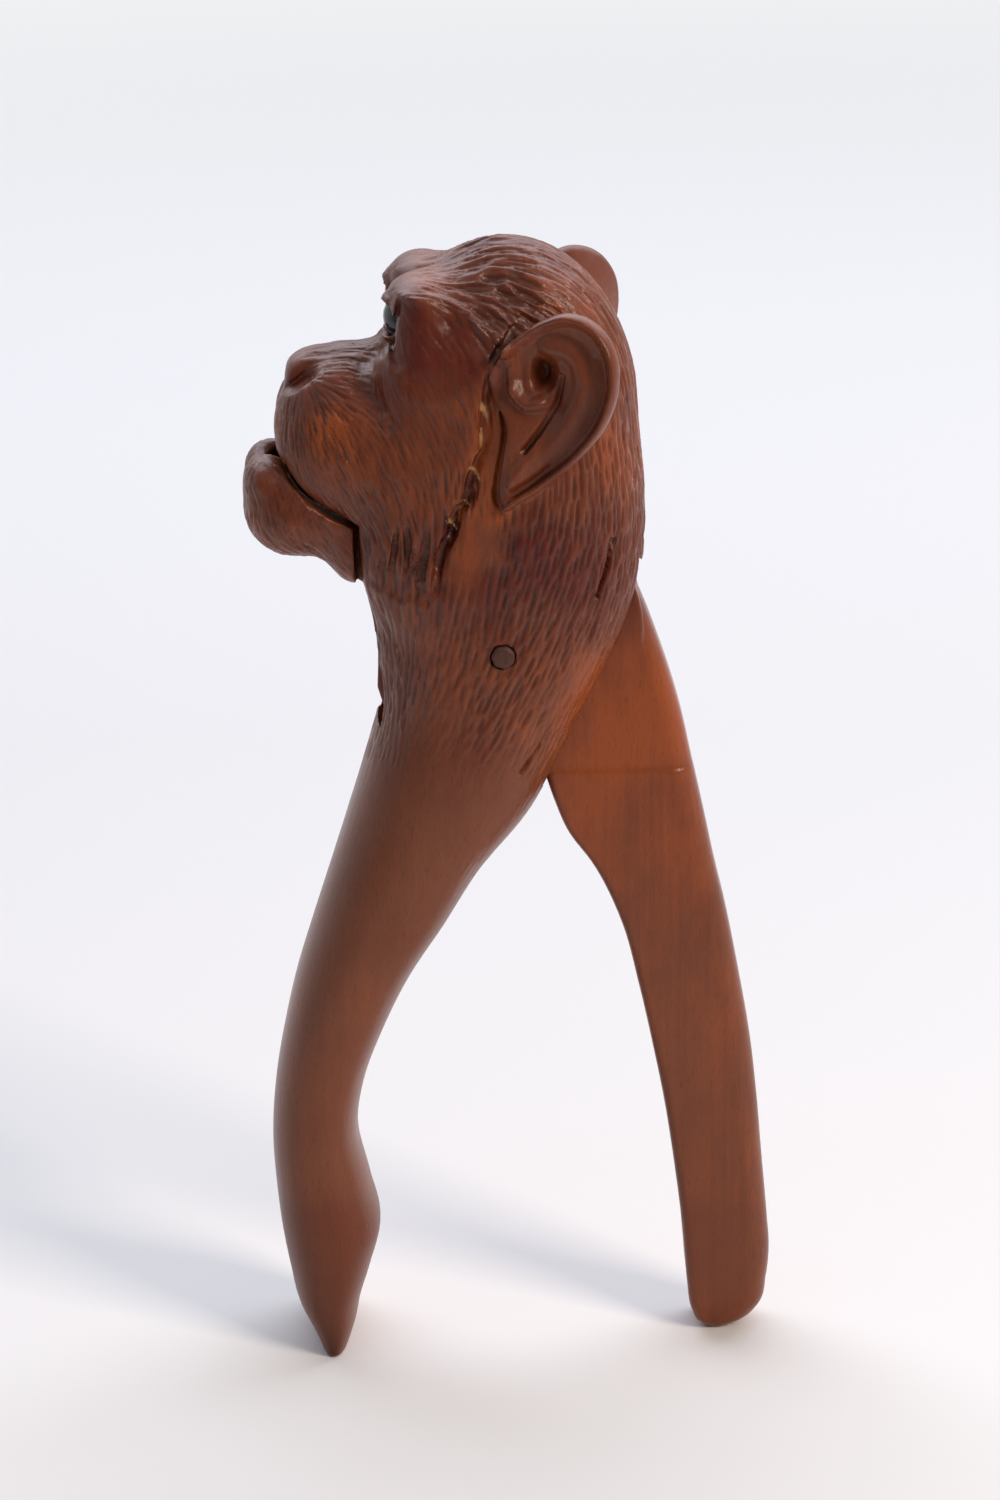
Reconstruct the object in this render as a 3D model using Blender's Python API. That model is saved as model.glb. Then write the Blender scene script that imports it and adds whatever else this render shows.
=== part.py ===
"""A carved wooden lever nutcracker in the form of a monkey's head.

The head, its neck and the front handle are one carved piece. The lower jaw, the tongue that
runs back through a saw slot in the neck and the rear handle are the other. A wooden peg joins
them, so that squeezing the handles closes the jaw. Two glass eyes sit in sockets under the
brow. The face looks along -X, the animal's right side is at +Y, and the feet stand at z = 0.
Every place is worked out from the pivot, which the peg's axis runs through.
"""

import math
from typing import NamedTuple

import bmesh
import bpy
import numpy as np
from mathutils import Matrix

MM = 0.001

# Driving dimensions
PIVOT_HEIGHT = 132.4 * MM
HEAD_HEIGHT = 67.6 * MM
HEAD_LENGTH = 60 * MM
HEAD_WIDTH = 40 * MM
FRONT_HANDLE_REACH = 42.4 * MM
FRONT_HANDLE_WIDTH = 25 * MM
REAR_HANDLE_REACH = 45.3 * MM
REAR_HANDLE_WIDTH = 11.6 * MM
JAW_REACH = 43.1 * MM
JAW_WIDTH = 25 * MM

# The pivot and the slot through the neck
PEG_RADIUS = 2.0 * MM
PEG_PROUD = 0.5 * MM
PEG_CHAMFER = 0.4 * MM
BORE_CLEARANCE = 0.3 * MM
SLOT_RADIUS = 26.5 * MM
SLOT_WIDTH = 12.2 * MM
SIDE_CLEARANCE = 0.6 * MM
END_CLEARANCE = 2.7 * MM
HANDLE_CLEARANCE = 1.3 * MM
CROTCH_DEPTH = 10 * MM

# The mouth
LIP_GAP = 0.7 * MM
NECK_GAP = 0.7 * MM
CUP_RADIUS = 8.5 * MM
CUP_DEPTH = 6 * MM
PALATE_DEPTH = 6.5 * MM
THROAT_RECESS = 0.8 * MM
THROAT_BELOW = 9 * MM
THROAT_ABOVE = 8 * MM
ROOT_BITE = 3 * MM
ROOT_DEPTH = 9 * MM

# The eyes
EYE_RADIUS = 3.9 * MM
EYE_AHEAD = 15.9 * MM
EYE_ASIDE = 8.4 * MM
EYE_ABOVE = 56.2 * MM
EYE_TURN = math.radians(14)
EYE_DOME = 2.6 * MM
EYE_RIM = 0.6 * MM
LID_THICKNESS = 1.3 * MM
LID_BEHIND = 2.0 * MM
IRIS_THICKNESS = 0.9 * MM
GLASS_CLEARANCE = 0.3 * MM

# The ears, told from the hollow of the ear
EAR_HEIGHT = 35 * MM
EAR_WIDTH = 20 * MM
EAR_DEPTH = 3.0 * MM
EAR_BEHIND = 5.7 * MM
EAR_ABOVE = 47.6 * MM
EAR_ASIDE = 21.2 * MM
EAR_FLARE = math.radians(24)
RIGHT_EAR_FARTHER_BACK = 1.5 * MM

# Fineness of the carved surfaces
RINGS_ON_HANDLE = 36
RINGS_ON_HEAD = 90
POINTS_ROUND_HEAD = 144
HEAD_TRIANGLES_SHARE = 0.19
JAW_RINGS = 20
POINTS_ROUND_JAW = 40
POINTS_ROUND_EAR = 36
POINTS_ROUND_PEG = 24
SLOT_ARC_COUNT = 36
CURVE_STEPS = 12
MARCH_STEPS = 34
MARCH_STEP_SHARE = 0.8

SHARP_ANGLE = math.radians(40)
SLOT_TOP_ANGLE = math.radians(90)
SLOT_REAR_ANGLE = 0.0
SLOT_FORK_ANGLE = math.radians(-80)
SLOT_FRONT_ANGLE = math.radians(-160)
KNUCKLE_START_ANGLE = math.radians(100)
KNUCKLE_END_ANGLE = math.radians(-150)
TINY = 1e-9

PIVOT_X = (JAW_REACH - REAR_HANDLE_REACH) / 2
PIVOT = np.array([PIVOT_X, 0.0, PIVOT_HEIGHT])
LID_MIDDLE = np.array([LID_BEHIND - EYE_AHEAD, EYE_ASIDE, EYE_ABOVE])
HEAD_SIZE = np.array([HEAD_LENGTH, HEAD_WIDTH, HEAD_HEIGHT])
JAW_SIZE = np.array([JAW_REACH, JAW_WIDTH, JAW_REACH])
MIDWAY = 0.5
DOUBLE = 2.0


class Mass(NamedTuple):
    """A rounded mass or hollow of the carving, in shares of the length, width and height.

    Its middle is told ahead of, beside and above the pivot. Blend is how softly it runs into
    what was there before, as a share of the width.
    """

    ahead: float
    aside: float
    above: float
    half_length: float
    half_width: float
    half_height: float
    blend: float


# Height, front and back as shares of the pivot's height and the handle's reach, then half width
SHAFT_SHARES = np.array([
    (-1.02, -0.800, -0.740, 0.47),
    (-1.00, -0.825, -0.710, 0.50),
    (-0.97, -0.868, -0.675, 0.53),
    (-0.94, -0.915, -0.655, 0.54),
    (-0.89, -0.950, -0.605, 0.54),
    (-0.84, -0.975, -0.565, 0.53),
    (-0.78, -0.992, -0.600, 0.50),
    (-0.70, -1.000, -0.646, 0.48),
    (-0.62, -0.976, -0.606, 0.49),
    (-0.55, -0.934, -0.522, 0.51),
    (-0.47, -0.872, -0.398, 0.54),
    (-0.40, -0.802, -0.255, 0.57),
    (-0.32, -0.718, -0.098, 0.60),
    (-0.245, -0.640, 0.095, 0.63),
    (-0.17, -0.566, 0.225, 0.66),
    (-0.09, -0.502, 0.350, 0.68),
    (-0.02, -0.520, 0.465, 0.70),
    (0.06, -0.545, 0.545, 0.72),
    (0.13, -0.535, 0.555, 0.73),
    (0.22, -0.370, 0.500, 0.68),
    (0.33, -0.100, 0.280, 0.42),
])
SHAFT_SQUARENESS = 2.3

# What the carver left standing, then what was cut in, then the lids round the eyes
HEAD_MASS_SHARES = {
    "cranium": Mass(-0.020, 0.0, 0.560, 0.370, 0.505, 0.437, 0.15),
    "occiput": Mass(-0.095, 0.0, 0.330, 0.270, 0.455, 0.350, 0.15),
    "temple": Mass(0.095, 0.200, 0.700, 0.235, 0.255, 0.210, 0.12),
    "brow": Mass(0.210, 0.185, 0.877, 0.088, 0.190, 0.058, 0.07),
    "orbit_rim": Mass(0.205, 0.325, 0.800, 0.082, 0.105, 0.110, 0.07),
    "cheekbone": Mass(0.205, 0.290, 0.680, 0.110, 0.140, 0.110, 0.08),
    "cheek": Mass(0.215, 0.215, 0.450, 0.250, 0.240, 0.230, 0.10),
    "jowl": Mass(0.200, 0.240, 0.240, 0.190, 0.210, 0.210, 0.10),
    "muzzle": Mass(0.412, 0.130, 0.515, 0.205, 0.250, 0.205, 0.075),
    "upper_lip": Mass(0.470, 0.060, 0.560, 0.145, 0.200, 0.135, 0.06),
    "nose_bridge": Mass(0.350, 0.0, 0.685, 0.230, 0.110, 0.055, 0.08),
    "nose_tip": Mass(0.512, 0.050, 0.665, 0.070, 0.085, 0.052, 0.04),
}
HEAD_HOLLOW_SHARES = {
    "eye_hollow": Mass(0.335, 0.205, 0.825, 0.080, 0.140, 0.088, 0.04),
    "brow_furrow": Mass(0.190, 0.0, 1.000, 0.130, 0.055, 0.062, 0.05),
    "nostril": Mass(0.585, 0.085, 0.637, 0.032, 0.040, 0.026, 0.012),
}
# The step behind the cheek's ruff of hair: height, then how far ahead, in head heights and lengths
RUFF_SHARES = np.array([
    (0.100, 0.250),
    (0.218, 0.197),
    (0.309, 0.148),
    (0.387, 0.124),
    (0.489, 0.085),
    (0.566, 0.059),
    (0.653, 0.043),
    (0.759, 0.027),
    (0.900, 0.020),
])
RUFF_FADE_SHARES = (0.16, 0.34, 0.74, 0.86)
RUFF_STEP = 1.2 * MM
RUFF_EDGE = 2.8 * MM
RUFF_REACH = 15 * MM
HEAD_RAY_SHARES = (0.06, 0.53)

# The lip line from the corner of the mouth forward, and the curve's middle handle
MOUTH_CORNER_SHARES = (0.393, 0.322)
MOUTH_BELLY_SHARES = (0.530, 0.365)
MOUTH_LIP_SHARES = (0.592, 0.470)
MOUTH_FAR_SHARES = (0.960, 0.700)

JAW_RAY_SHARES = (0.73, 0.50)
# Masses of the lower jaw, in shares of its reach, width and reach again
JAW_MASS_SHARES = {
    "chin": Mass(0.805, 0.100, 0.525, 0.195, 0.360, 0.195, 0.20),
    "front_lip": Mass(0.900, 0.150, 0.662, 0.090, 0.270, 0.095, 0.12),
    "jaw_side": Mass(0.640, 0.200, 0.550, 0.260, 0.300, 0.195, 0.15),
    "jaw_root": Mass(0.560, 0.180, 0.380, 0.120, 0.300, 0.155, 0.15),
}

# The rear handle: height as a share of the pivot's height, front and back as shares of its
# reach behind the pivot, half width as a share of its width
REAR_HANDLE_SHARES = np.array([
    (-1.000, 0.755, 0.855, 0.34),
    (-0.990, 0.720, 0.905, 0.42),
    (-0.970, 0.692, 0.960, 0.48),
    (-0.930, 0.675, 0.988, 0.50),
    (-0.885, 0.665, 1.000, 0.50),
    (-0.840, 0.655, 0.992, 0.50),
    (-0.750, 0.626, 0.971, 0.50),
    (-0.660, 0.590, 0.951, 0.50),
    (-0.575, 0.545, 0.925, 0.50),
    (-0.490, 0.495, 0.885, 0.50),
    (-0.400, 0.430, 0.837, 0.50),
    (-0.317, 0.320, 0.784, 0.50),
    (-0.275, 0.235, 0.760, 0.50),
    (-0.233, 0.185, 0.735, 0.50),
    (-0.191, 0.148, 0.709, 0.50),
    (-0.189, 0.148, 0.708, 0.474),
    (-0.110, 0.120, 0.660, 0.474),
    (-0.026, 0.200, 0.587, 0.474),
    (0.051, 0.300, 0.503, 0.474),
    (0.069, 0.320, 0.480, 0.474),
])
REAR_EDGE_ROUND = 4.0 * MM
REAR_FRONT_ROUND = 1.6 * MM

# The ear's rim, backward and up from its hollow, as shares of its width and height, and how
# much of the rolled edge stands there
EAR_RIM_SHARES = np.array([
    (-0.295, -0.030, 0.0),
    (-0.250, 0.110, 0.3),
    (-0.150, 0.230, 0.8),
    (0.000, 0.310, 1.0),
    (0.180, 0.365, 1.0),
    (0.380, 0.370, 1.0),
    (0.580, 0.315, 1.0),
    (0.700, 0.205, 1.0),
    (0.725, 0.080, 1.0),
    (0.680, -0.060, 1.0),
    (0.560, -0.220, 1.0),
    (0.370, -0.365, 0.9),
    (0.150, -0.475, 0.7),
    (-0.080, -0.580, 0.5),
    (-0.245, -0.645, 0.2),
    (-0.255, -0.500, 0.0),
    (-0.225, -0.320, 0.0),
    (-0.270, -0.140, 0.0),
])
# From the hollow out over the rim and back: distance out, height, and what the rolled edge adds
EAR_PROFILE_SHARES = np.array([
    (0.00, -0.90, 0.00),
    (0.22, -0.80, 0.00),
    (0.42, 0.00, 0.00),
    (0.58, 0.25, 0.00),
    (0.76, -0.15, -0.10),
    (0.86, -0.20, 0.50),
    (0.95, -0.25, 0.75),
    (1.00, -0.35, 0.50),
    (0.99, -0.60, 0.25),
    (0.86, -0.95, 0.10),
    (0.62, -1.40, 0.00),
    (0.30, -2.10, 0.00),
    (0.00, -2.30, 0.00),
])

WOOD_COLOUR = (0.118, 0.034, 0.016)
PALE_WOOD_COLOUR = (0.150, 0.045, 0.018)
PEG_COLOUR = (0.090, 0.032, 0.018)
GLASS_COLOUR = (0.020, 0.024, 0.032)
IRIS_COLOUR = (0.050, 0.018, 0.006)


def material(name, colour, roughness):
    """A plain material of one colour."""
    made = bpy.data.materials.new(name)
    made.use_nodes = True
    shader = made.node_tree.nodes["Principled BSDF"]
    shader.inputs["Base Color"].default_value = (*colour, 1.0)
    shader.inputs["Roughness"].default_value = roughness
    shader.inputs["Metallic"].default_value = 0.0
    return made


def new_object(name, mesh, place=None, parent=None, cutter=False):
    """Link a mesh to the scene at a place, as a finished piece or as a cutter."""
    made = bpy.data.objects.new(name, mesh)
    bpy.context.scene.collection.objects.link(made)
    if place is not None:
        made.location = place
    if parent is not None:
        made.parent = parent
    if cutter:
        made.hide_render = True
        made.display_type = "WIRE"
    return made


def mesh_from_bmesh(name, shape):
    """Turn a bmesh into a mesh with its faces outward, and free it."""
    bmesh.ops.recalc_face_normals(shape, faces=shape.faces)
    mesh = bpy.data.meshes.new(name)
    shape.to_mesh(mesh)
    shape.free()
    return mesh


def closed_tube_mesh(name, grid, start=None, end=None):
    """A closed skin over rings of points, each end shut by a fan to a point or the ring's middle."""
    rings, around = grid.shape[:2]
    start = grid[0].mean(axis=0) if start is None else start
    end = grid[-1].mean(axis=0) if end is None else end
    points = np.concatenate([grid.reshape(-1, 3), [start, end]])
    ring, step = np.meshgrid(np.arange(rings - 1), np.arange(around), indexing="ij")
    following = (step + 1) % around
    quads = np.stack([
        ring * around + step,
        (ring + 1) * around + step,
        (ring + 1) * around + following,
        ring * around + following,
    ], axis=-1).reshape(-1, 4)
    turn = np.arange(around)
    turned = (turn + 1) % around
    last = (rings - 1) * around
    start_fan = np.stack([np.full(around, rings * around), turn, turned], axis=-1)
    end_fan = np.stack([np.full(around, rings * around + 1), last + turned, last + turn], axis=-1)
    faces = quads.tolist() + start_fan.tolist() + end_fan.tolist()
    mesh = bpy.data.meshes.new(name)
    mesh.from_pydata(points.tolist(), [], faces)
    shape = bmesh.new()
    shape.from_mesh(mesh)
    bpy.data.meshes.remove(mesh)
    return mesh_from_bmesh(name, shape)


def prism_mesh(name, outline, width):
    """A flat plate of an x and z outline, standing across the middle plane."""
    shape = bmesh.new()
    corners = [shape.verts.new((x, -width * MIDWAY, z)) for x, z in outline]
    face = shape.faces.new(corners)
    swept = bmesh.ops.extrude_face_region(shape, geom=[face])
    moved = [item for item in swept["geom"] if isinstance(item, bmesh.types.BMVert)]
    bmesh.ops.translate(shape, verts=moved, vec=(0.0, width, 0.0))
    return mesh_from_bmesh(name, shape)


def rod_mesh(name, radius, length, chamfer=0.0):
    """A round rod along Y about its own middle, with its ends chamfered."""
    shape = bmesh.new()
    turn = Matrix.Rotation(math.radians(90), 4, "X")
    bmesh.ops.create_cone(shape, cap_ends=True, segments=POINTS_ROUND_PEG, radius1=radius,
                          radius2=radius, depth=length, matrix=turn)
    if chamfer > 0:
        rims = [edge for edge in shape.edges if abs(edge.verts[0].co.y - edge.verts[1].co.y) < chamfer]
        bmesh.ops.bevel(shape, geom=rims, offset=chamfer, segments=1, affect="EDGES")
    return mesh_from_bmesh(name, shape)


def ball_mesh(name, half_sizes, centre, segments=32, rings=16):
    """A ball stretched to three half sizes."""
    shape = bmesh.new()
    grow = Matrix.Diagonal((*half_sizes, 1.0))
    bmesh.ops.create_uvsphere(shape, u_segments=segments, v_segments=rings, radius=1.0,
                              matrix=Matrix.Translation(centre) @ grow)
    return mesh_from_bmesh(name, shape)


def boolean(target, cutter, operation):
    """Join, cut or keep what two solids share."""
    step = target.modifiers.new(cutter.name, "BOOLEAN")
    step.object = cutter
    step.operation = operation
    step.solver = "EXACT"


# Forms of the carving

def ease(value, start, end):
    """A smooth rise from nought to one between two values."""
    part = np.clip((value - start) / (end - start), 0.0, 1.0)
    return part ** 2 * (3.0 - 2.0 * part)


def smooth_least(first, second, blend):
    """The lesser of two distances, rounded where they are nearly alike."""
    mix = np.clip(MIDWAY + MIDWAY * (second - first) / blend, 0.0, 1.0)
    return second + (first - second) * mix - blend * mix * (1.0 - mix)


def smooth_greatest(first, second, blend):
    """The greater of two distances, rounded where they are nearly alike."""
    return -smooth_least(-first, -second, blend)


def mass_distance(points, mass, size):
    """About how far each point lies outside one rounded mass and its twin on the other side."""
    middle = np.array([-mass.ahead, mass.aside, mass.above]) * size
    half = np.array([mass.half_length, mass.half_width, mass.half_height]) * size
    offset = np.stack([points[..., 0], np.abs(points[..., 1]), points[..., 2]], axis=-1) - middle
    near = np.sqrt(((offset / half) ** 2).sum(axis=-1))
    steep = np.sqrt(((offset / half ** 2) ** 2).sum(axis=-1))
    return near * (near - 1.0) / np.maximum(steep, TINY)


def smooth_through(heights, table):
    """Each column of a table at the given heights, on smooth curves through its rows."""
    level = table[:, 0]
    spot = np.clip(np.searchsorted(level, heights) - 1, 0, len(level) - 2)
    gap = level[spot + 1] - level[spot]
    part = np.clip((heights - level[spot]) / gap, 0.0, 1.0)
    rise_in = part * (1.0 - part) ** 2
    rise_out = -part ** 2 * (1.0 - part)
    weight = ease(part, 0.0, 1.0)
    columns = []
    for column in range(1, table.shape[1]):
        value = table[:, column]
        slope = np.gradient(value, level)
        columns.append(value[spot] * (1.0 - weight) + value[spot + 1] * weight
                       + gap * (rise_in * slope[spot] + rise_out * slope[spot + 1]))
    return columns


def shaft_outline(heights):
    """Front, back and half width of the neck and front handle at heights above the pivot."""
    front, back, half_width = smooth_through(heights / PIVOT_HEIGHT, SHAFT_SHARES)
    return front * FRONT_HANDLE_REACH, back * FRONT_HANDLE_REACH, half_width * FRONT_HANDLE_WIDTH


def shaft_distance(points):
    """About how far each point lies outside the neck and front handle."""
    lowest = SHAFT_SHARES[0, 0] * PIVOT_HEIGHT
    highest = SHAFT_SHARES[-1, 0] * PIVOT_HEIGHT
    height = np.clip(points[..., 2], lowest, highest)
    front, back, half_width = shaft_outline(height)
    half_depth = (back - front) * MIDWAY
    ahead = np.abs((points[..., 0] - (front + back) * MIDWAY) / half_depth)
    aside = np.abs(points[..., 1] / half_width)
    near = (ahead ** SHAFT_SQUARENESS + aside ** SHAFT_SQUARENESS) ** (1.0 / SHAFT_SQUARENESS)
    around = (near - 1.0) * np.minimum(half_depth, half_width)
    beyond = np.maximum(points[..., 2] - highest, lowest - points[..., 2])
    return np.maximum(around, beyond)


def head_distance(points):
    """About how far each point lies outside the carved head, neck and front handle."""
    distance = shaft_distance(points)
    for mass in HEAD_MASS_SHARES.values():
        distance = smooth_least(distance, mass_distance(points, mass, HEAD_SIZE),
                                mass.blend * HEAD_WIDTH)
    for hollow in HEAD_HOLLOW_SHARES.values():
        distance = smooth_greatest(distance, -mass_distance(points, hollow, HEAD_SIZE),
                                   hollow.blend * HEAD_WIDTH)
    beside = np.stack([points[..., 0], np.abs(points[..., 1]), points[..., 2]], axis=-1)
    lids = np.linalg.norm(beside - LID_MIDDLE, axis=-1) - EYE_RADIUS - LID_THICKNESS
    return smooth_least(distance, lids, LID_THICKNESS) + ruff_step(points)


def ruff_step(points):
    """How much the neck is let in behind the edge of the cheek's ruff."""
    level = points[..., 2] / HEAD_HEIGHT
    behind = points[..., 0] + np.interp(level, RUFF_SHARES[:, 0], RUFF_SHARES[:, 1]) * HEAD_LENGTH
    low_start, low_end, high_start, high_end = RUFF_FADE_SHARES
    fade = ease(level, low_start, low_end) * (1.0 - ease(level, high_start, high_end))
    return RUFF_STEP * fade * ease(behind, 0.0, RUFF_EDGE) * (1.0 - ease(behind, RUFF_EDGE, RUFF_REACH))


def jaw_distance(points):
    """About how far each point lies outside the lower jaw, before it is trimmed."""
    distance = None
    for mass in JAW_MASS_SHARES.values():
        here = mass_distance(points, mass, JAW_SIZE)
        distance = here if distance is None else smooth_least(distance, here, mass.blend * JAW_WIDTH)
    return distance


def march(distance, origins, directions, reach):
    """Where rays that come from far outside first meet a form, by steps as long as it allows."""
    travelled = np.full(origins.shape[:-1], reach)
    for _ in range(MARCH_STEPS):
        points = origins + directions * travelled[..., None]
        travelled = np.maximum(travelled - MARCH_STEP_SHARE * distance(points), 0.0)
    return origins + directions * travelled[..., None]


def round_directions(elevations, around):
    """Unit directions at each elevation, turning from straight ahead around the upright."""
    turn = np.linspace(0.0, math.tau, around, endpoint=False)
    level = np.cos(elevations)[:, None]
    return np.stack([
        -level * np.cos(turn),
        level * np.sin(turn),
        np.repeat(np.sin(elevations)[:, None], around, axis=1),
    ], axis=-1)


def head_grid():
    """Rings of points up the handle and neck, then over the head to its crown."""
    ahead_share, above_share = HEAD_RAY_SHARES
    hub = np.array([-ahead_share * HEAD_LENGTH, 0.0, above_share * HEAD_HEIGHT])
    low = np.linspace(-PIVOT_HEIGHT, 0.0, RINGS_ON_HANDLE, endpoint=False)
    middle = np.linspace(0.0, hub[2], RINGS_ON_HEAD // 2, endpoint=False)
    levels = np.concatenate([low, middle])
    front, back, _ = shaft_outline(levels)
    toward_hub = ease(levels, 0.0, hub[2])
    spine_x = (front + back) * MIDWAY * (1.0 - toward_hub) + hub[0] * toward_hub
    elevations = np.linspace(0.0, math.pi / 2, RINGS_ON_HEAD // 2)
    spine = np.stack([spine_x, np.zeros_like(levels), levels], axis=-1)
    spine = np.concatenate([spine, np.repeat(hub[None], len(elevations), axis=0)])
    tilt = np.concatenate([np.zeros(len(levels)), elevations])
    directions = round_directions(tilt, POINTS_ROUND_HEAD)
    origins = np.repeat(spine[:, None], POINTS_ROUND_HEAD, axis=1)
    grid = march(head_distance, origins, directions, HEAD_LENGTH)
    return grid[:-1], grid[-1, 0]


def lip_curve():
    """The lip line in x and z, from the corner of the mouth to the upper lip and on ahead."""
    corner, belly, lip, far = (
        np.array([-ahead * HEAD_LENGTH, above * HEAD_HEIGHT])
        for ahead, above in (MOUTH_CORNER_SHARES, MOUTH_BELLY_SHARES, MOUTH_LIP_SHARES, MOUTH_FAR_SHARES)
    )
    part = np.linspace(0.0, 1.0, CURVE_STEPS)[:, None]
    curve = corner * (1.0 - part) ** 2 + belly * DOUBLE * part * (1.0 - part) + lip * part ** 2
    return np.concatenate([curve, far[None]])


def jaw_space(gap_behind, gap_above):
    """The region ahead of the neck and below the lip line, drawn in by two gaps."""
    curve = lip_curve() + np.array([-gap_behind * MIDWAY, -gap_above])
    curve[0, 0] = lip_curve()[0, 0] - gap_behind
    far_ahead = curve[-1, 0]
    return [tuple(point) for point in curve] + [(far_ahead, 0.0), (curve[0, 0], 0.0)]


def handle_front(heights):
    """How far behind the pivot the rear handle's front edge lies at heights about the pivot."""
    front = np.interp(heights / PIVOT_HEIGHT, REAR_HANDLE_SHARES[:, 0], REAR_HANDLE_SHARES[:, 1])
    return front * REAR_HANDLE_REACH


def arc_points(radius, start, end, count):
    """Points along an arc about the pivot, between two angles."""
    turn = np.linspace(start, end, count)
    return [(radius * math.cos(angle), radius * math.sin(angle)) for angle in turn]


def slot_outline():
    """The saw slot: a disc about the pivot, open behind the handles' fork and below the palate."""
    upper = arc_points(SLOT_RADIUS, SLOT_TOP_ANGLE, SLOT_REAR_ANGLE, SLOT_ARC_COUNT)
    lower = arc_points(SLOT_RADIUS, SLOT_FORK_ANGLE, SLOT_FRONT_ANGLE, SLOT_ARC_COUNT)
    fork_low = -SLOT_RADIUS - CROTCH_DEPTH
    fork = [(float(handle_front(height)) - HANDLE_CLEARANCE, height)
            for height in np.linspace(fork_low, -SLOT_RADIUS, CURVE_STEPS // 2)]
    behind = SLOT_RADIUS * DOUBLE
    far_ahead = -HEAD_LENGTH
    return (upper + [(behind, 0.0), (behind, fork_low)] + fork + lower
            + [(far_ahead, lower[-1][1]), (far_ahead, SLOT_RADIUS)])


def tongue_outline():
    """The knuckle about the pivot, its front hollowed for the throat, and the root of the jaw."""
    arc = arc_points(SLOT_RADIUS - END_CLEARANCE, KNUCKLE_START_ANGLE, KNUCKLE_END_ANGLE, SLOT_ARC_COUNT)
    corner_x, corner_z = lip_curve()[0]
    root_x = corner_x - NECK_GAP - ROOT_BITE
    throat = [(float(shaft_outline(height)[0]) + THROAT_RECESS, height)
              for height in np.linspace(-THROAT_BELOW, THROAT_ABOVE, CURVE_STEPS // 2)]
    root = [(root_x, corner_z - ROOT_DEPTH), (root_x, corner_z - LIP_GAP - THROAT_RECESS)]
    return arc + throat + root


def ear_grid(side):
    """Rings of points from the hollow of one ear out over its rim and back to its root."""
    size = np.array([EAR_WIDTH, EAR_HEIGHT])
    rim = closed_curve(EAR_RIM_SHARES, POINTS_ROUND_EAR)
    out, level, roll = EAR_PROFILE_SHARES.T
    height = (level[:, None] + roll[:, None] * rim[:, 2]) * EAR_DEPTH
    flat = out[:, None, None] * rim[:, :2] * size
    backward = np.array([math.cos(EAR_FLARE), side * math.sin(EAR_FLARE), 0.0])
    outward = np.array([-math.sin(EAR_FLARE), side * math.cos(EAR_FLARE), 0.0])
    upward = np.array([0.0, 0.0, 1.0])
    farther_back = RIGHT_EAR_FARTHER_BACK if side > 0 else 0.0
    middle = np.array([EAR_BEHIND + farther_back, side * EAR_ASIDE, EAR_ABOVE])
    grid = (middle + flat[..., :1] * backward + flat[..., 1:] * upward
            + height[..., None] * outward)
    return grid[1:-1], grid[0, 0], grid[-1, 0]


def closed_curve(corners, count):
    """Points evenly by turn along a smooth closed curve through the corners."""
    place = np.arange(count) / count * len(corners)
    spot = place.astype(int)
    part = (place - spot)[:, None]
    before, first, second, after = (corners[(spot + step) % len(corners)] for step in (-1, 0, 1, 2))
    slope_in = (second - before) * MIDWAY
    slope_out = (after - first) * MIDWAY
    weight = ease(part, 0.0, 1.0)
    return (first * (1.0 - weight) + second * weight
            + slope_in * part * (1.0 - part) ** 2 - slope_out * part ** 2 * (1.0 - part))


def rear_handle_grid():
    """Rings of points up the rear handle, each flat sided with rounded front and rear edges."""
    levels = REAR_HANDLE_SHARES[:, 0] * PIVOT_HEIGHT
    front = REAR_HANDLE_SHARES[:, 1] * REAR_HANDLE_REACH
    back = REAR_HANDLE_SHARES[:, 2] * REAR_HANDLE_REACH
    half_width = REAR_HANDLE_SHARES[:, 3] * REAR_HANDLE_WIDTH
    depth = back - front
    rear_round = np.minimum(REAR_EDGE_ROUND, depth * MIDWAY)
    front_round = np.minimum(REAR_FRONT_ROUND, depth * MIDWAY)
    turn = np.linspace(-math.pi / 2, math.pi / 2, CURVE_STEPS)
    rear_x = (back - rear_round)[:, None] + rear_round[:, None] * np.cos(turn)
    front_x = (front + front_round)[:, None] - front_round[:, None] * np.cos(turn)
    side = half_width[:, None] * np.sin(turn)
    x = np.concatenate([rear_x, front_x], axis=1)
    y = np.concatenate([side, -side], axis=1)
    z = np.repeat(levels[:, None], x.shape[1], axis=1)
    return np.stack([x, y, z], axis=-1)


def turned_grid(profile):
    """Rings of a turned form along X, from a list of places along the axis and radii."""
    turn = np.linspace(0.0, math.tau, POINTS_ROUND_PEG, endpoint=False)
    along = np.array([place for place, _ in profile])
    radius = np.array([size for _, size in profile])
    x = np.repeat(along[:, None], POINTS_ROUND_PEG, axis=1)
    return np.stack([x, radius[:, None] * np.cos(turn), radius[:, None] * np.sin(turn)], axis=-1)


def eye_place(side):
    """Where one eye's glass is seated, and which way it is turned."""
    place = (-EYE_AHEAD, side * EYE_ASIDE, EYE_ABOVE)
    turn = Matrix.Rotation(math.pi - side * EYE_TURN, 4, "Z")
    return Matrix.Translation(place) @ turn


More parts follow.
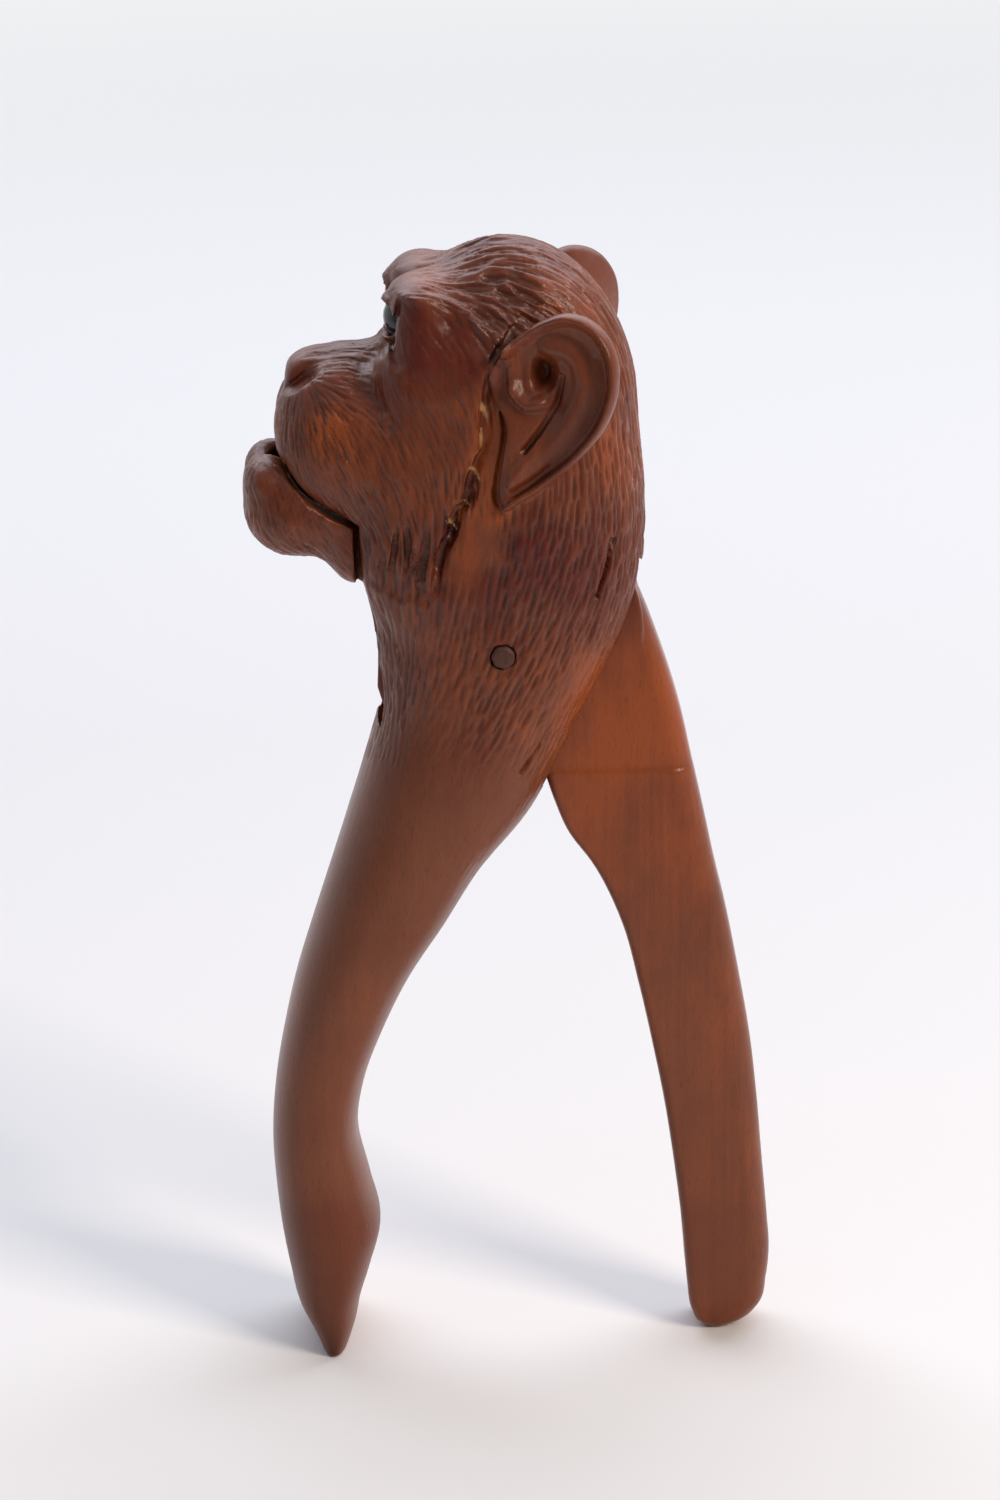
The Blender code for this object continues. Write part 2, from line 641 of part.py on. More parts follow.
def build_head(frame):
    """The head, neck and front handle, carved from one block."""
    grid, crown = head_grid()
    head = new_object("head_lever", closed_tube_mesh("head_lever", grid, end=crown), parent=frame)
    thin = head.modifiers.new("fewer_faces", "DECIMATE")
    thin.ratio = HEAD_TRIANGLES_SHARE
    thin.use_symmetry = True
    thin.symmetry_axis = "Y"
    for side, name in ((-1, "left"), (1, "right")):
        rings, hollow, root = ear_grid(side)
        ear = new_object("ear_" + name, closed_tube_mesh("ear_" + name, rings, hollow, root),
                         parent=frame, cutter=True)
        boolean(head, ear, "UNION")
        socket_mesh = closed_tube_mesh("socket_" + name, turned_grid([
            (-EYE_RIM - IRIS_THICKNESS - GLASS_CLEARANCE * DOUBLE, EYE_RADIUS + GLASS_CLEARANCE),
            (0.0, EYE_RADIUS + GLASS_CLEARANCE),
            (EYE_DOME + LID_THICKNESS, EYE_RADIUS + LID_THICKNESS * MIDWAY),
        ]))
        socket_mesh.transform(eye_place(side))
        boolean(head, new_object("socket_" + name, socket_mesh, parent=frame, cutter=True), "DIFFERENCE")
    wide = HEAD_WIDTH * DOUBLE
    cuts = {
        "jaw_space": prism_mesh("jaw_space", jaw_space(0.0, 0.0), wide),
        "slot": prism_mesh("slot", slot_outline(), SLOT_WIDTH),
        "palate": ball_mesh("palate", (CUP_RADIUS, CUP_RADIUS, PALATE_DEPTH), mouth_middle(0.0)),
        "peg_hole": rod_mesh("peg_hole", PEG_RADIUS + BORE_CLEARANCE, wide),
    }
    for name, mesh in cuts.items():
        boolean(head, new_object(name, mesh, parent=frame, cutter=True), "DIFFERENCE")
    return head


def mouth_middle(drop):
    """The middle of the nut's seat on the lip line, lowered by a drop."""
    curve = lip_curve()[:-1]
    middle = curve[len(curve) // 2 + 1]
    return (middle[0], 0.0, middle[1] - drop)


def build_jaw(frame):
    """The lower jaw, its tongue and the rear handle, cut from one plank."""
    hub_ahead, hub_above = JAW_RAY_SHARES
    hub = np.array([-hub_ahead * JAW_REACH, 0.0, hub_above * JAW_REACH])
    elevations = np.linspace(-math.pi / 2, math.pi / 2, JAW_RINGS)
    directions = round_directions(elevations, POINTS_ROUND_JAW)
    grid = march(jaw_distance, np.broadcast_to(hub, directions.shape), directions, JAW_REACH)
    mesh = closed_tube_mesh("jaw_lever", grid[1:-1], grid[0, 0], grid[-1, 0])
    jaw = new_object("jaw_lever", mesh, parent=frame)
    trim = prism_mesh("jaw_trim", jaw_space(NECK_GAP, LIP_GAP), HEAD_WIDTH * DOUBLE)
    boolean(jaw, new_object("jaw_trim", trim, parent=frame, cutter=True), "INTERSECT")
    joined = {
        "tongue": prism_mesh("tongue", tongue_outline(), SLOT_WIDTH - SIDE_CLEARANCE * DOUBLE),
        "rear_handle": closed_tube_mesh("rear_handle", rear_handle_grid()),
    }
    for name, shape in joined.items():
        boolean(jaw, new_object(name, shape, parent=frame, cutter=True), "UNION")
    cut = {
        "nut_cup": ball_mesh("nut_cup", (CUP_RADIUS, CUP_RADIUS, CUP_DEPTH), mouth_middle(LIP_GAP)),
        "running_hole": rod_mesh("running_hole", PEG_RADIUS + BORE_CLEARANCE, HEAD_WIDTH),
    }
    for name, shape in cut.items():
        boolean(jaw, new_object(name, shape, parent=frame, cutter=True), "DIFFERENCE")
    return jaw


def build_peg(frame):
    """The wooden peg through both cheeks and the tongue."""
    _, _, half_width = shaft_outline(np.array(0.0))
    length = DOUBLE * (half_width + PEG_PROUD)
    return new_object("pivot_peg", rod_mesh("pivot_peg", PEG_RADIUS, length, PEG_CHAMFER), parent=frame)


def build_eye(frame, side, name):
    """One glass eye, domed in front, and the painted disc behind it."""
    turn = np.linspace(0.0, math.pi / 2, CURVE_STEPS // 2)
    dome = [(EYE_DOME * math.sin(angle), EYE_RADIUS * math.cos(angle)) for angle in turn[:-1]]
    glass_profile = [(-EYE_RIM, EYE_RADIUS)] + dome
    glass = closed_tube_mesh("eye_glass_" + name, turned_grid(glass_profile), end=(EYE_DOME, 0.0, 0.0))
    iris_front = -EYE_RIM - GLASS_CLEARANCE
    iris = closed_tube_mesh("eye_iris_" + name, turned_grid([
        (iris_front - IRIS_THICKNESS, EYE_RADIUS),
        (iris_front, EYE_RADIUS),
    ]))
    made = []
    for mesh in (glass, iris):
        mesh.transform(eye_place(side))
        made.append(new_object(mesh.name, mesh, parent=frame))
    return made


def main():
    """Clear the scene and build every piece."""
    for old in list(bpy.data.objects):
        bpy.data.objects.remove(old)
    frame = bpy.data.objects.new("pivot", None)
    frame.location = PIVOT
    bpy.context.scene.collection.objects.link(frame)
    wood = material("polished_wood", WOOD_COLOUR, 0.35)
    pieces = {
        build_head(frame): wood,
        build_jaw(frame): material("rubbed_wood", PALE_WOOD_COLOUR, 0.4),
        build_peg(frame): material("peg_wood", PEG_COLOUR, 0.45),
    }
    glass = material("eye_glass", GLASS_COLOUR, 0.05)
    paint = material("eye_paint", IRIS_COLOUR, 0.3)
    for side, name in ((-1, "left"), (1, "right")):
        lens, disc = build_eye(frame, side, name)
        pieces[lens] = glass
        pieces[disc] = paint
    for piece, finish in pieces.items():
        piece.data.materials.clear()
        piece.data.materials.append(finish)
        piece.data.shade_smooth()
        piece.data.set_sharp_from_angle(angle=SHARP_ANGLE)


main()
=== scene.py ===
"""Visual model of a carved lever nutcracker with a monkey's head.

Both levers are worked out as solids: a distance is told for every place in space, negative in the
wood, and the skin where it passes nought is drawn as a fine mesh. Hair is then cut into that skin
along the way it grows. All sizes are in millimetres in the row frame until a mesh is made.
"""

import logging
import math
from dataclasses import dataclass, field
from enum import Enum
from functools import cached_property

import bpy
import numpy as np
from mathutils import Matrix


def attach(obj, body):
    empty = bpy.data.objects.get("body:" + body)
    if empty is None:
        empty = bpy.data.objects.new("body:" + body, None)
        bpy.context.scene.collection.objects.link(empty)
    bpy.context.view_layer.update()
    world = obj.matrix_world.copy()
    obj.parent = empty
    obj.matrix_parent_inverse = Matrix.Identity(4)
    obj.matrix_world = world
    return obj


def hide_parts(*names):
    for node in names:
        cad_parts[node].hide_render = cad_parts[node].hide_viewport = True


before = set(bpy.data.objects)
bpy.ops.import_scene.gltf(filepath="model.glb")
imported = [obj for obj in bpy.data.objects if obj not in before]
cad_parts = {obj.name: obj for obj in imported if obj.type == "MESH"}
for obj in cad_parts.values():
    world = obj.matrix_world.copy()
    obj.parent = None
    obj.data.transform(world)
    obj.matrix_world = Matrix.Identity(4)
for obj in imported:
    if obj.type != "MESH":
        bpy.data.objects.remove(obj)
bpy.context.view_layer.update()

Array = np.ndarray
Pair = tuple[float, float]
Place = tuple[float, float, float]
Path = tuple[Pair, ...]
Piece = bpy.types.Object
Material = bpy.types.Material
Output = bpy.types.NodeSocket
LOG = logging.getLogger("nutcracker")

MM = 0.001
HALF = 0.5
TINY = 1e-6
# A distance that stands for "far outside", and how many places are worked out at once
FAR = 9.0
CHUNK = 120_000
# How far short of a chart's last point a reading stops, told in cells past the one before
LAST_CELL = 1.001
PIVOT_X = -1.1
PIVOT_Z = 132.4
PIVOT = np.array([PIVOT_X, 0.0, PIVOT_Z])
UPRIGHT = np.array([0.0, 0.0, 1.0])
# The mouth: the corner, belly, top and far end of the line between the lips, in x and z
LIP_LINE = np.array([(-24.68, 154.17), (-32.9, 157.07), (-36.62, 164.17), (-58.7, 179.72)])


class Side(Enum):
    """Which side of the head a piece is on, by the sign of its Y."""

    LEFT = -1
    RIGHT = 1


class Body(Enum):
    """The moving bodies of the record."""

    HEAD = "head"
    JAW = "jaw"


# Helpers for forms


def array_of(*places: tuple[float, ...]) -> Array:
    """A dataclass's field whose value is an array of these rows."""
    return field(default_factory=lambda: np.array(places))


def ease(value: Array, start: float, end: float) -> Array:
    """A smooth rise from nought to one: three squares less two cubes of the part gone."""
    part = np.clip((value - start) / (end - start), 0.0, 1.0)
    return part * part * (3.0 - 2.0 * part)


def smooth_least(first: Array, second: Array, blend: float) -> Array:
    """The lesser of two distances, with a parabola of the blend's width between them."""
    mix = np.clip(HALF + HALF * (second - first) / blend, 0.0, 1.0)
    return second + (first - second) * mix - blend * mix * (1.0 - mix)


def smooth_greatest(first: Array, second: Array, blend: float) -> Array:
    """The greater of two distances, rounded in the same way."""
    return -smooth_least(-first, -second, blend)


def bump(distance: Array, width: float) -> Array:
    """A soft rise of height one and a given half width: (1 - (d / w) squared) squared."""
    part = np.clip(1.0 - (distance / width) ** 2, 0.0, 1.0)
    return part * part


def smooth_line(corners: Array, count: int, closed: bool = False) -> Array:
    """A curve through corners by cubic pieces whose slopes are half the chord of the neighbours.

    Args:
        corners: Rows of coordinates.
        count: How many points to give back.
        closed: Whether the curve returns to its first corner.

    Returns:
        Points along the curve, evenly by corner.
    """
    total = len(corners)
    place = np.arange(count) * (total / count) if closed else np.linspace(0, total - 1, count)
    spot = np.minimum(place.astype(int), total - 1 if closed else total - 2)
    part = (place - spot)[:, None]

    def corner(step: int) -> Array:
        """The corners so many steps on from each place's own."""
        index = spot + step
        return corners[index % total if closed else np.clip(index, 0, total - 1)]

    slope_in = (corner(1) - corner(-1)) * HALF
    slope_out = (corner(2) - corner(0)) * HALF
    weight = ease(part, 0.0, 1.0)
    return (
        corner(0) * (1.0 - weight)
        + corner(1) * weight
        + slope_in * part * (1.0 - part) ** 2
        - slope_out * part**2 * (1.0 - part)
    )


def line_distance(across: Array, up: Array, line: Array) -> Array:
    """The least distance of each place in a plane from an open line of straight pieces.

    Args:
        across: The places' first coordinate.
        up: Their second.
        line: Rows of the line's corners.

    Returns:
        The distances.
    """
    least = np.full(np.shape(across), np.inf)
    for start, end in zip(line[:-1], line[1:]):
        run = end - start
        along = np.clip(((across - start[0]) * run[0] + (up - start[1]) * run[1]) / (run @ run), 0, 1)
        gap = np.hypot(across - start[0] - along * run[0], up - start[1] - along * run[1])
        least = np.minimum(least, gap)
    return least


def outline_distance(across: Array, up: Array, outline: Array) -> Array:
    """Distance from a closed outline: negative inside, where a level ray crosses it an odd number of times.

    Args:
        across: The places' first coordinate.
        up: Their second.
        outline: Rows of the outline's corners.

    Returns:
        The distances.
    """
    inside = np.zeros(np.shape(across), bool)
    for start, end in zip(outline, np.roll(outline, -1, axis=0)):
        if start[1] == end[1]:
            continue
        spans = (start[1] > up) != (end[1] > up)
        crossing = (end[0] - start[0]) * (up - start[1]) / (end[1] - start[1]) + start[0]
        inside ^= spans & (across < crossing)
    least = line_distance(across, up, np.concatenate([outline, outline[:1]]))
    return np.where(inside, -least, least)


@dataclass(frozen=True)
class Chart:
    """Values over a flat lattice, read between its points by their four neighbours."""

    low: Pair
    pitch: float
    values: Array

    @staticmethod
    def layered(low: Pair, pitch: float, *layers: Array) -> "Chart":
        """A chart with several values at each point."""
        return Chart(low, pitch, np.stack(layers, axis=-1).astype(np.float32))

    @staticmethod
    def lattice(low: Pair, high: Pair, pitch: float) -> tuple[Array, Array]:
        """The two coordinates of a lattice between two corners, as two arrays."""
        first = np.arange(low[0], high[0] + pitch, pitch)
        second = np.arange(low[1], high[1] + pitch, pitch)
        return np.meshgrid(first, second, indexing="ij")

    def at(self, first: Array, second: Array) -> Array:
        """The values at any places: each of four neighbours counts by how near it is.

        Args:
            first: The places' first coordinate.
            second: Their second.

        Returns:
            The values, with a column for each layer of the chart.
        """
        rows, columns = self.values.shape[:2]
        a = np.clip((first - self.low[0]) / self.pitch, 0.0, rows - LAST_CELL)
        b = np.clip((second - self.low[1]) / self.pitch, 0.0, columns - LAST_CELL)
        i, j = a.astype(np.int32), b.astype(np.int32)
        s, t = a - i, b - j
        if self.values.ndim == 3:
            s, t = s[:, None], t[:, None]
        v = self.values
        near_side = v[i, j] * (1 - s) + v[i + 1, j] * s
        far_side = v[i, j + 1] * (1 - s) + v[i + 1, j + 1] * s
        return near_side * (1 - t) + far_side * t

    @staticmethod
    def spread(rows: Array, low: Pair, softness: float, power: float) -> "Chart":
        """Values told at a few places of the side view, spread over the whole of it.

        Each row weighs 1 / (d squared + softness) to a power, and the weights are made to add up
        to one.

        Args:
            rows: Rows of x, z and the values there.
            low: The chart's lowest corner.
            softness: Holds a row's weight down close to it, in square millimetres.
            power: How fast a row's weight falls off.

        Returns:
            A chart with a layer for each value.
        """
        high, pitch = (46.0, 202.0), 1.0
        x, z = Chart.lattice(low, high, pitch)
        away = (x[..., None] - rows[:, 0]) ** 2 + (z[..., None] - rows[:, 1]) ** 2
        weight = 1.0 / (away + softness) ** power
        weight /= weight.sum(axis=-1, keepdims=True)
        return Chart(low, pitch, (weight @ rows[:, 2:]).astype(np.float32))


@dataclass(frozen=True)
class Mass:
    """A rounded mass or hollow of the carving, with its twin on the other side.

    The place is its middle, ahead being toward the face. Tilt turns it nose up in the side view
    and turn swings its front outward, both in degrees.
    """

    x: float
    y: float
    z: float
    long: float
    wide: float
    high: float
    blend: float
    tilt: float = 0.0
    turn: float = 0.0

    def distance(self, x: Array, y: Array, z: Array) -> Array:
        """About how far places lie outside it: n (n - 1) / s.

        Here n is the place's length with each axis scaled to one, and s that length scaled again.

        Args:
            x: The places' way backward.
            y: Their way aside.
            z: Their height.

        Returns:
            Distances.
        """
        u, v, w = x - self.x, y - self.y, z - self.z
        if self.tilt:
            c, s = math.cos(math.radians(self.tilt)), math.sin(math.radians(self.tilt))
            u, w = u * c - w * s, u * s + w * c
        if self.turn:
            c, s = math.cos(math.radians(self.turn)), math.sin(math.radians(self.turn))
            u, v = u * c - v * s, u * s + v * c
        u, v, w = u / self.long, v / self.wide, w / self.high
        near = np.sqrt(u * u + v * v + w * w)
        steep = np.sqrt((u / self.long) ** 2 + (v / self.wide) ** 2 + (w / self.high) ** 2)
        return near * (near - 1.0) / np.maximum(steep, TINY)


@dataclass(frozen=True)
class Grain:
    """Random values on a lattice in space that repeats, read between its points."""

    seed: int
    size: int = 64

    def at(self, places: Array) -> Array:
        """A smooth random value between minus one and one: the lattice's eight corners, eased between.

        Args:
            places: Rows of x, y and z, told in cells.

        Returns:
            A value for each place.
        """
        table = np.random.default_rng(self.seed).uniform(-1, 1, (self.size,) * 3).astype(np.float32)
        low = np.floor(places).astype(np.int32)
        part = ease((places - low).astype(np.float32), 0.0, 1.0)
        low %= self.size
        high = (low + 1) % self.size
        total = np.zeros(len(places), np.float32)
        for a in (0, 1):
            i = high[:, 0] if a else low[:, 0]
            wa = part[:, 0] if a else 1 - part[:, 0]
            for b in (0, 1):
                j = high[:, 1] if b else low[:, 1]
                wb = wa * (part[:, 1] if b else 1 - part[:, 1])
                for c in (0, 1):
                    k = high[:, 2] if c else low[:, 2]
                    total += wb * (part[:, 2] if c else 1 - part[:, 2]) * table[i, j, k]
        return total


@dataclass
class Skin:
    """A closed mesh in the making: its points, four-cornered faces and outward directions."""

    points: Array
    faces: Array
    outward: Array


class Solid:
    """A form told by a distance for every place, whose skin is drawn where that is nought.

    The skin is looked for in lots of cells near the form. Its points are then drawn onto the form
    in a few turns, each by most of what is still wanting.
    """

    low: Place
    high: Place
    pitch: float
    triangles: int
    slope_step: float = 0.12
    lot: int = 4
    near_lots: float = 2.1
    drawing_turns: int = 2
    drawing_share: float = 0.9
    least_slope: float = 0.05

    def distance(self, places: Array) -> Array:
        """About how far each place lies outside the form."""
        raise NotImplementedError

    def marks(self, points: Array, outward: Array, groove: Array) -> dict[str, Array]:
        """What the material has to know of each point, by name."""
        raise NotImplementedError

    def carved(self, name: str, coat: "Coat", lines: tuple["Line", ...] = ()) -> Piece:
        """Draw the skin, cut the hair and the lines into it, mark it and thin it.

        Args:
            name: The piece's name.
            coat: The hair.
            lines: Lines to work beside the hair.

        Returns:
            The piece, without its finish.
        """
        skin = self.skin()
        before = skin.points.copy()
        groove = coat.cut(skin)
        work_lines(skin, lines)
        piece = new_mesh(name, skin.points, skin.faces)
        write_marks(piece, self.marks(before, skin.outward, groove))
        thinned(piece, self.triangles)
        return piece

    def told(self, places: Array) -> Array:
        """The distance at each place, in lots small enough to stay in the fast store."""
        parts = [self.distance(places[start : start + CHUNK]) for start in range(0, len(places), CHUNK)]
        return np.concatenate(parts).astype(np.float32)

    def steepness(self, places: Array) -> Array:
        """The outward slope: each corner of a small tetrahedron, weighed by the distance there.

        Args:
            places: Rows of x, y and z.

        Returns:
            A direction for each place, about one long.
        """
        step = np.float32(self.slope_step)
        corners = np.array([(1, -1, -1), (-1, -1, 1), (-1, 1, -1), (1, 1, 1)], np.float32)
        slope = sum(corner * self.told(places + corner * step)[:, None] for corner in corners)
        return slope / (4 * step)

    def lattice_values(self) -> tuple[Array, Array]:
        """Distances on a fine lattice, worked out only near the skin.

        Returns:
            The values, and the lattice's lowest corner.
        """
        low, high, lot = np.array(self.low), np.array(self.high), self.lot
        counts = (np.ceil((high - low) / self.pitch / lot).astype(int) + 1).tolist()
        rough = [low[k] + self.pitch * (lot * np.arange(counts[k]) + (lot - 1) * HALF) for k in range(3)]
        places = np.stack(np.meshgrid(*rough, indexing="ij"), axis=-1).reshape(-1, 3).astype(np.float32)
        value = self.told(places)
        near = (np.abs(value) < self.near_lots * lot * self.pitch).reshape(counts)
        values = np.where(value > 0, FAR, -FAR).astype(np.float32).reshape(counts)
        for axis in range(3):
            near = np.repeat(near, lot, axis=axis)
            values = np.repeat(values, lot, axis=axis)
        spots = np.argwhere(near)
        fine = (low + spots * self.pitch).astype(np.float32)
        values[near] = self.told(fine)
        return values, low

    def skin(self) -> Skin:
        """The skin: one point in each cell that the skin crosses, one face round each crossed edge.

        Returns:
            The skin, its points drawn onto the form along the slope.
        """
        values, low = self.lattice_values()
        shape = np.array(values.shape)
        sums, quads = [], []
        inside = values < 0
        for axis in range(3):
            first = [slice(None)] * 3
            second = [slice(None)] * 3
            first[axis], second[axis] = slice(None, -1), slice(1, None)
            crossed = inside[tuple(first)] != inside[tuple(second)]
            spot = np.argwhere(crossed)
            ahead = spot.copy()
            ahead[:, axis] += 1
            here, there = values[tuple(spot.T)], values[tuple(ahead.T)]
            place = spot.astype(np.float64)
            place[:, axis] += here / (here - there)
            other, last = (axis + 1) % 3, (axis + 2) % 3
            cells = np.repeat(spot[:, None], 4, axis=1)
            cells[:, (1, 2), other] -= 1
            cells[:, (2, 3), last] -= 1
            flip = here > 0
            cells[flip] = cells[flip][:, ::-1]
            keys = (cells[..., 0] * shape[1] + cells[..., 1]) * shape[2] + cells[..., 2]
            quads.append(keys)
            sums.append(np.repeat(place[:, None], 4, axis=1))
        keys = np.concatenate(quads)
        places = np.concatenate(sums).reshape(-1, 3)
        unique, index = np.unique(keys.reshape(-1), return_inverse=True)
        count = np.bincount(index)
        points = np.stack([np.bincount(index, places[:, k]) / count for k in range(3)], axis=-1)
        faces = index.reshape(-1, 4)[:, ::-1]
        points = (low + points * self.pitch).astype(np.float32)
        for _ in range(self.drawing_turns):
            slope = self.steepness(points)
            size = np.maximum((slope * slope).sum(axis=1), self.least_slope)
            shift = np.clip(self.told(points) / size, -self.pitch, self.pitch)
            points -= slope * shift[:, None] * self.drawing_share
        slope = self.steepness(points)
        outward = slope / np.maximum(np.linalg.norm(slope, axis=1, keepdims=True), TINY)
        return Skin(points, faces, outward)


def new_mesh(name: str, points: Array, faces: Array) -> Piece:
    """Link a mesh object at the origin, its points told in millimetres.

    Args:
        name: The piece's name.
        points: Rows of x, y and z.
        faces: Rows of point numbers.

    Returns:
        The object, smooth shaded.
    """
    mesh = bpy.data.meshes.new(name)
    mesh.from_pydata((points * MM).tolist(), [], faces.tolist())
    mesh.polygons.foreach_set("use_smooth", np.ones(len(mesh.polygons), bool))
    mesh.update()
    piece = bpy.data.objects.new(name, mesh)
    bpy.context.scene.collection.objects.link(piece)
    return piece


def write_marks(piece: Piece, marks: dict[str, Array]) -> None:
    """Store marks for the material to read, by name, each with a value for every point."""
    for name, values in marks.items():
        layer = piece.data.attributes.new(name, "FLOAT", "POINT")
        layer.data.foreach_set("value", np.ascontiguousarray(values, np.float32))


def thinned(piece: Piece, most: int) -> None:
    """Let go of faces where the skin is plain.

    Args:
        piece: The piece, whose mesh is changed.
        most: How many triangles may be left.
    """
    triangles = sum(len(polygon.vertices) - 2 for polygon in piece.data.polygons)
    if triangles <= most:
        return
    step = piece.modifiers.new("fewer_faces", "DECIMATE")
    step.ratio = most / triangles
    graph = bpy.context.evaluated_depsgraph_get()
    made = bpy.data.meshes.new_from_object(piece.evaluated_get(graph))
    piece.modifiers.clear()
    old, piece.data = piece.data, made
    bpy.data.meshes.remove(old)
    made.name = piece.name


# The hair: where it grows, which way, how deep the strands and how deep the locks


@dataclass(frozen=True)
class Patch:
    """Hair of one kind: its stroke length, its spacing and where and how it grows.

    Each row holds a place in the side view, the way the hair runs there, the depth of a strand's
    cut and the depth of a lock's.
    """

    length: float
    spacing: float
    rows: tuple[tuple[float, ...], ...]

    def table(self) -> Array:
        """The rows, each with the length and the spacing added."""
        rows = np.array(self.rows)
        return np.hstack([rows, np.tile([self.length, self.spacing], (len(rows), 1))])


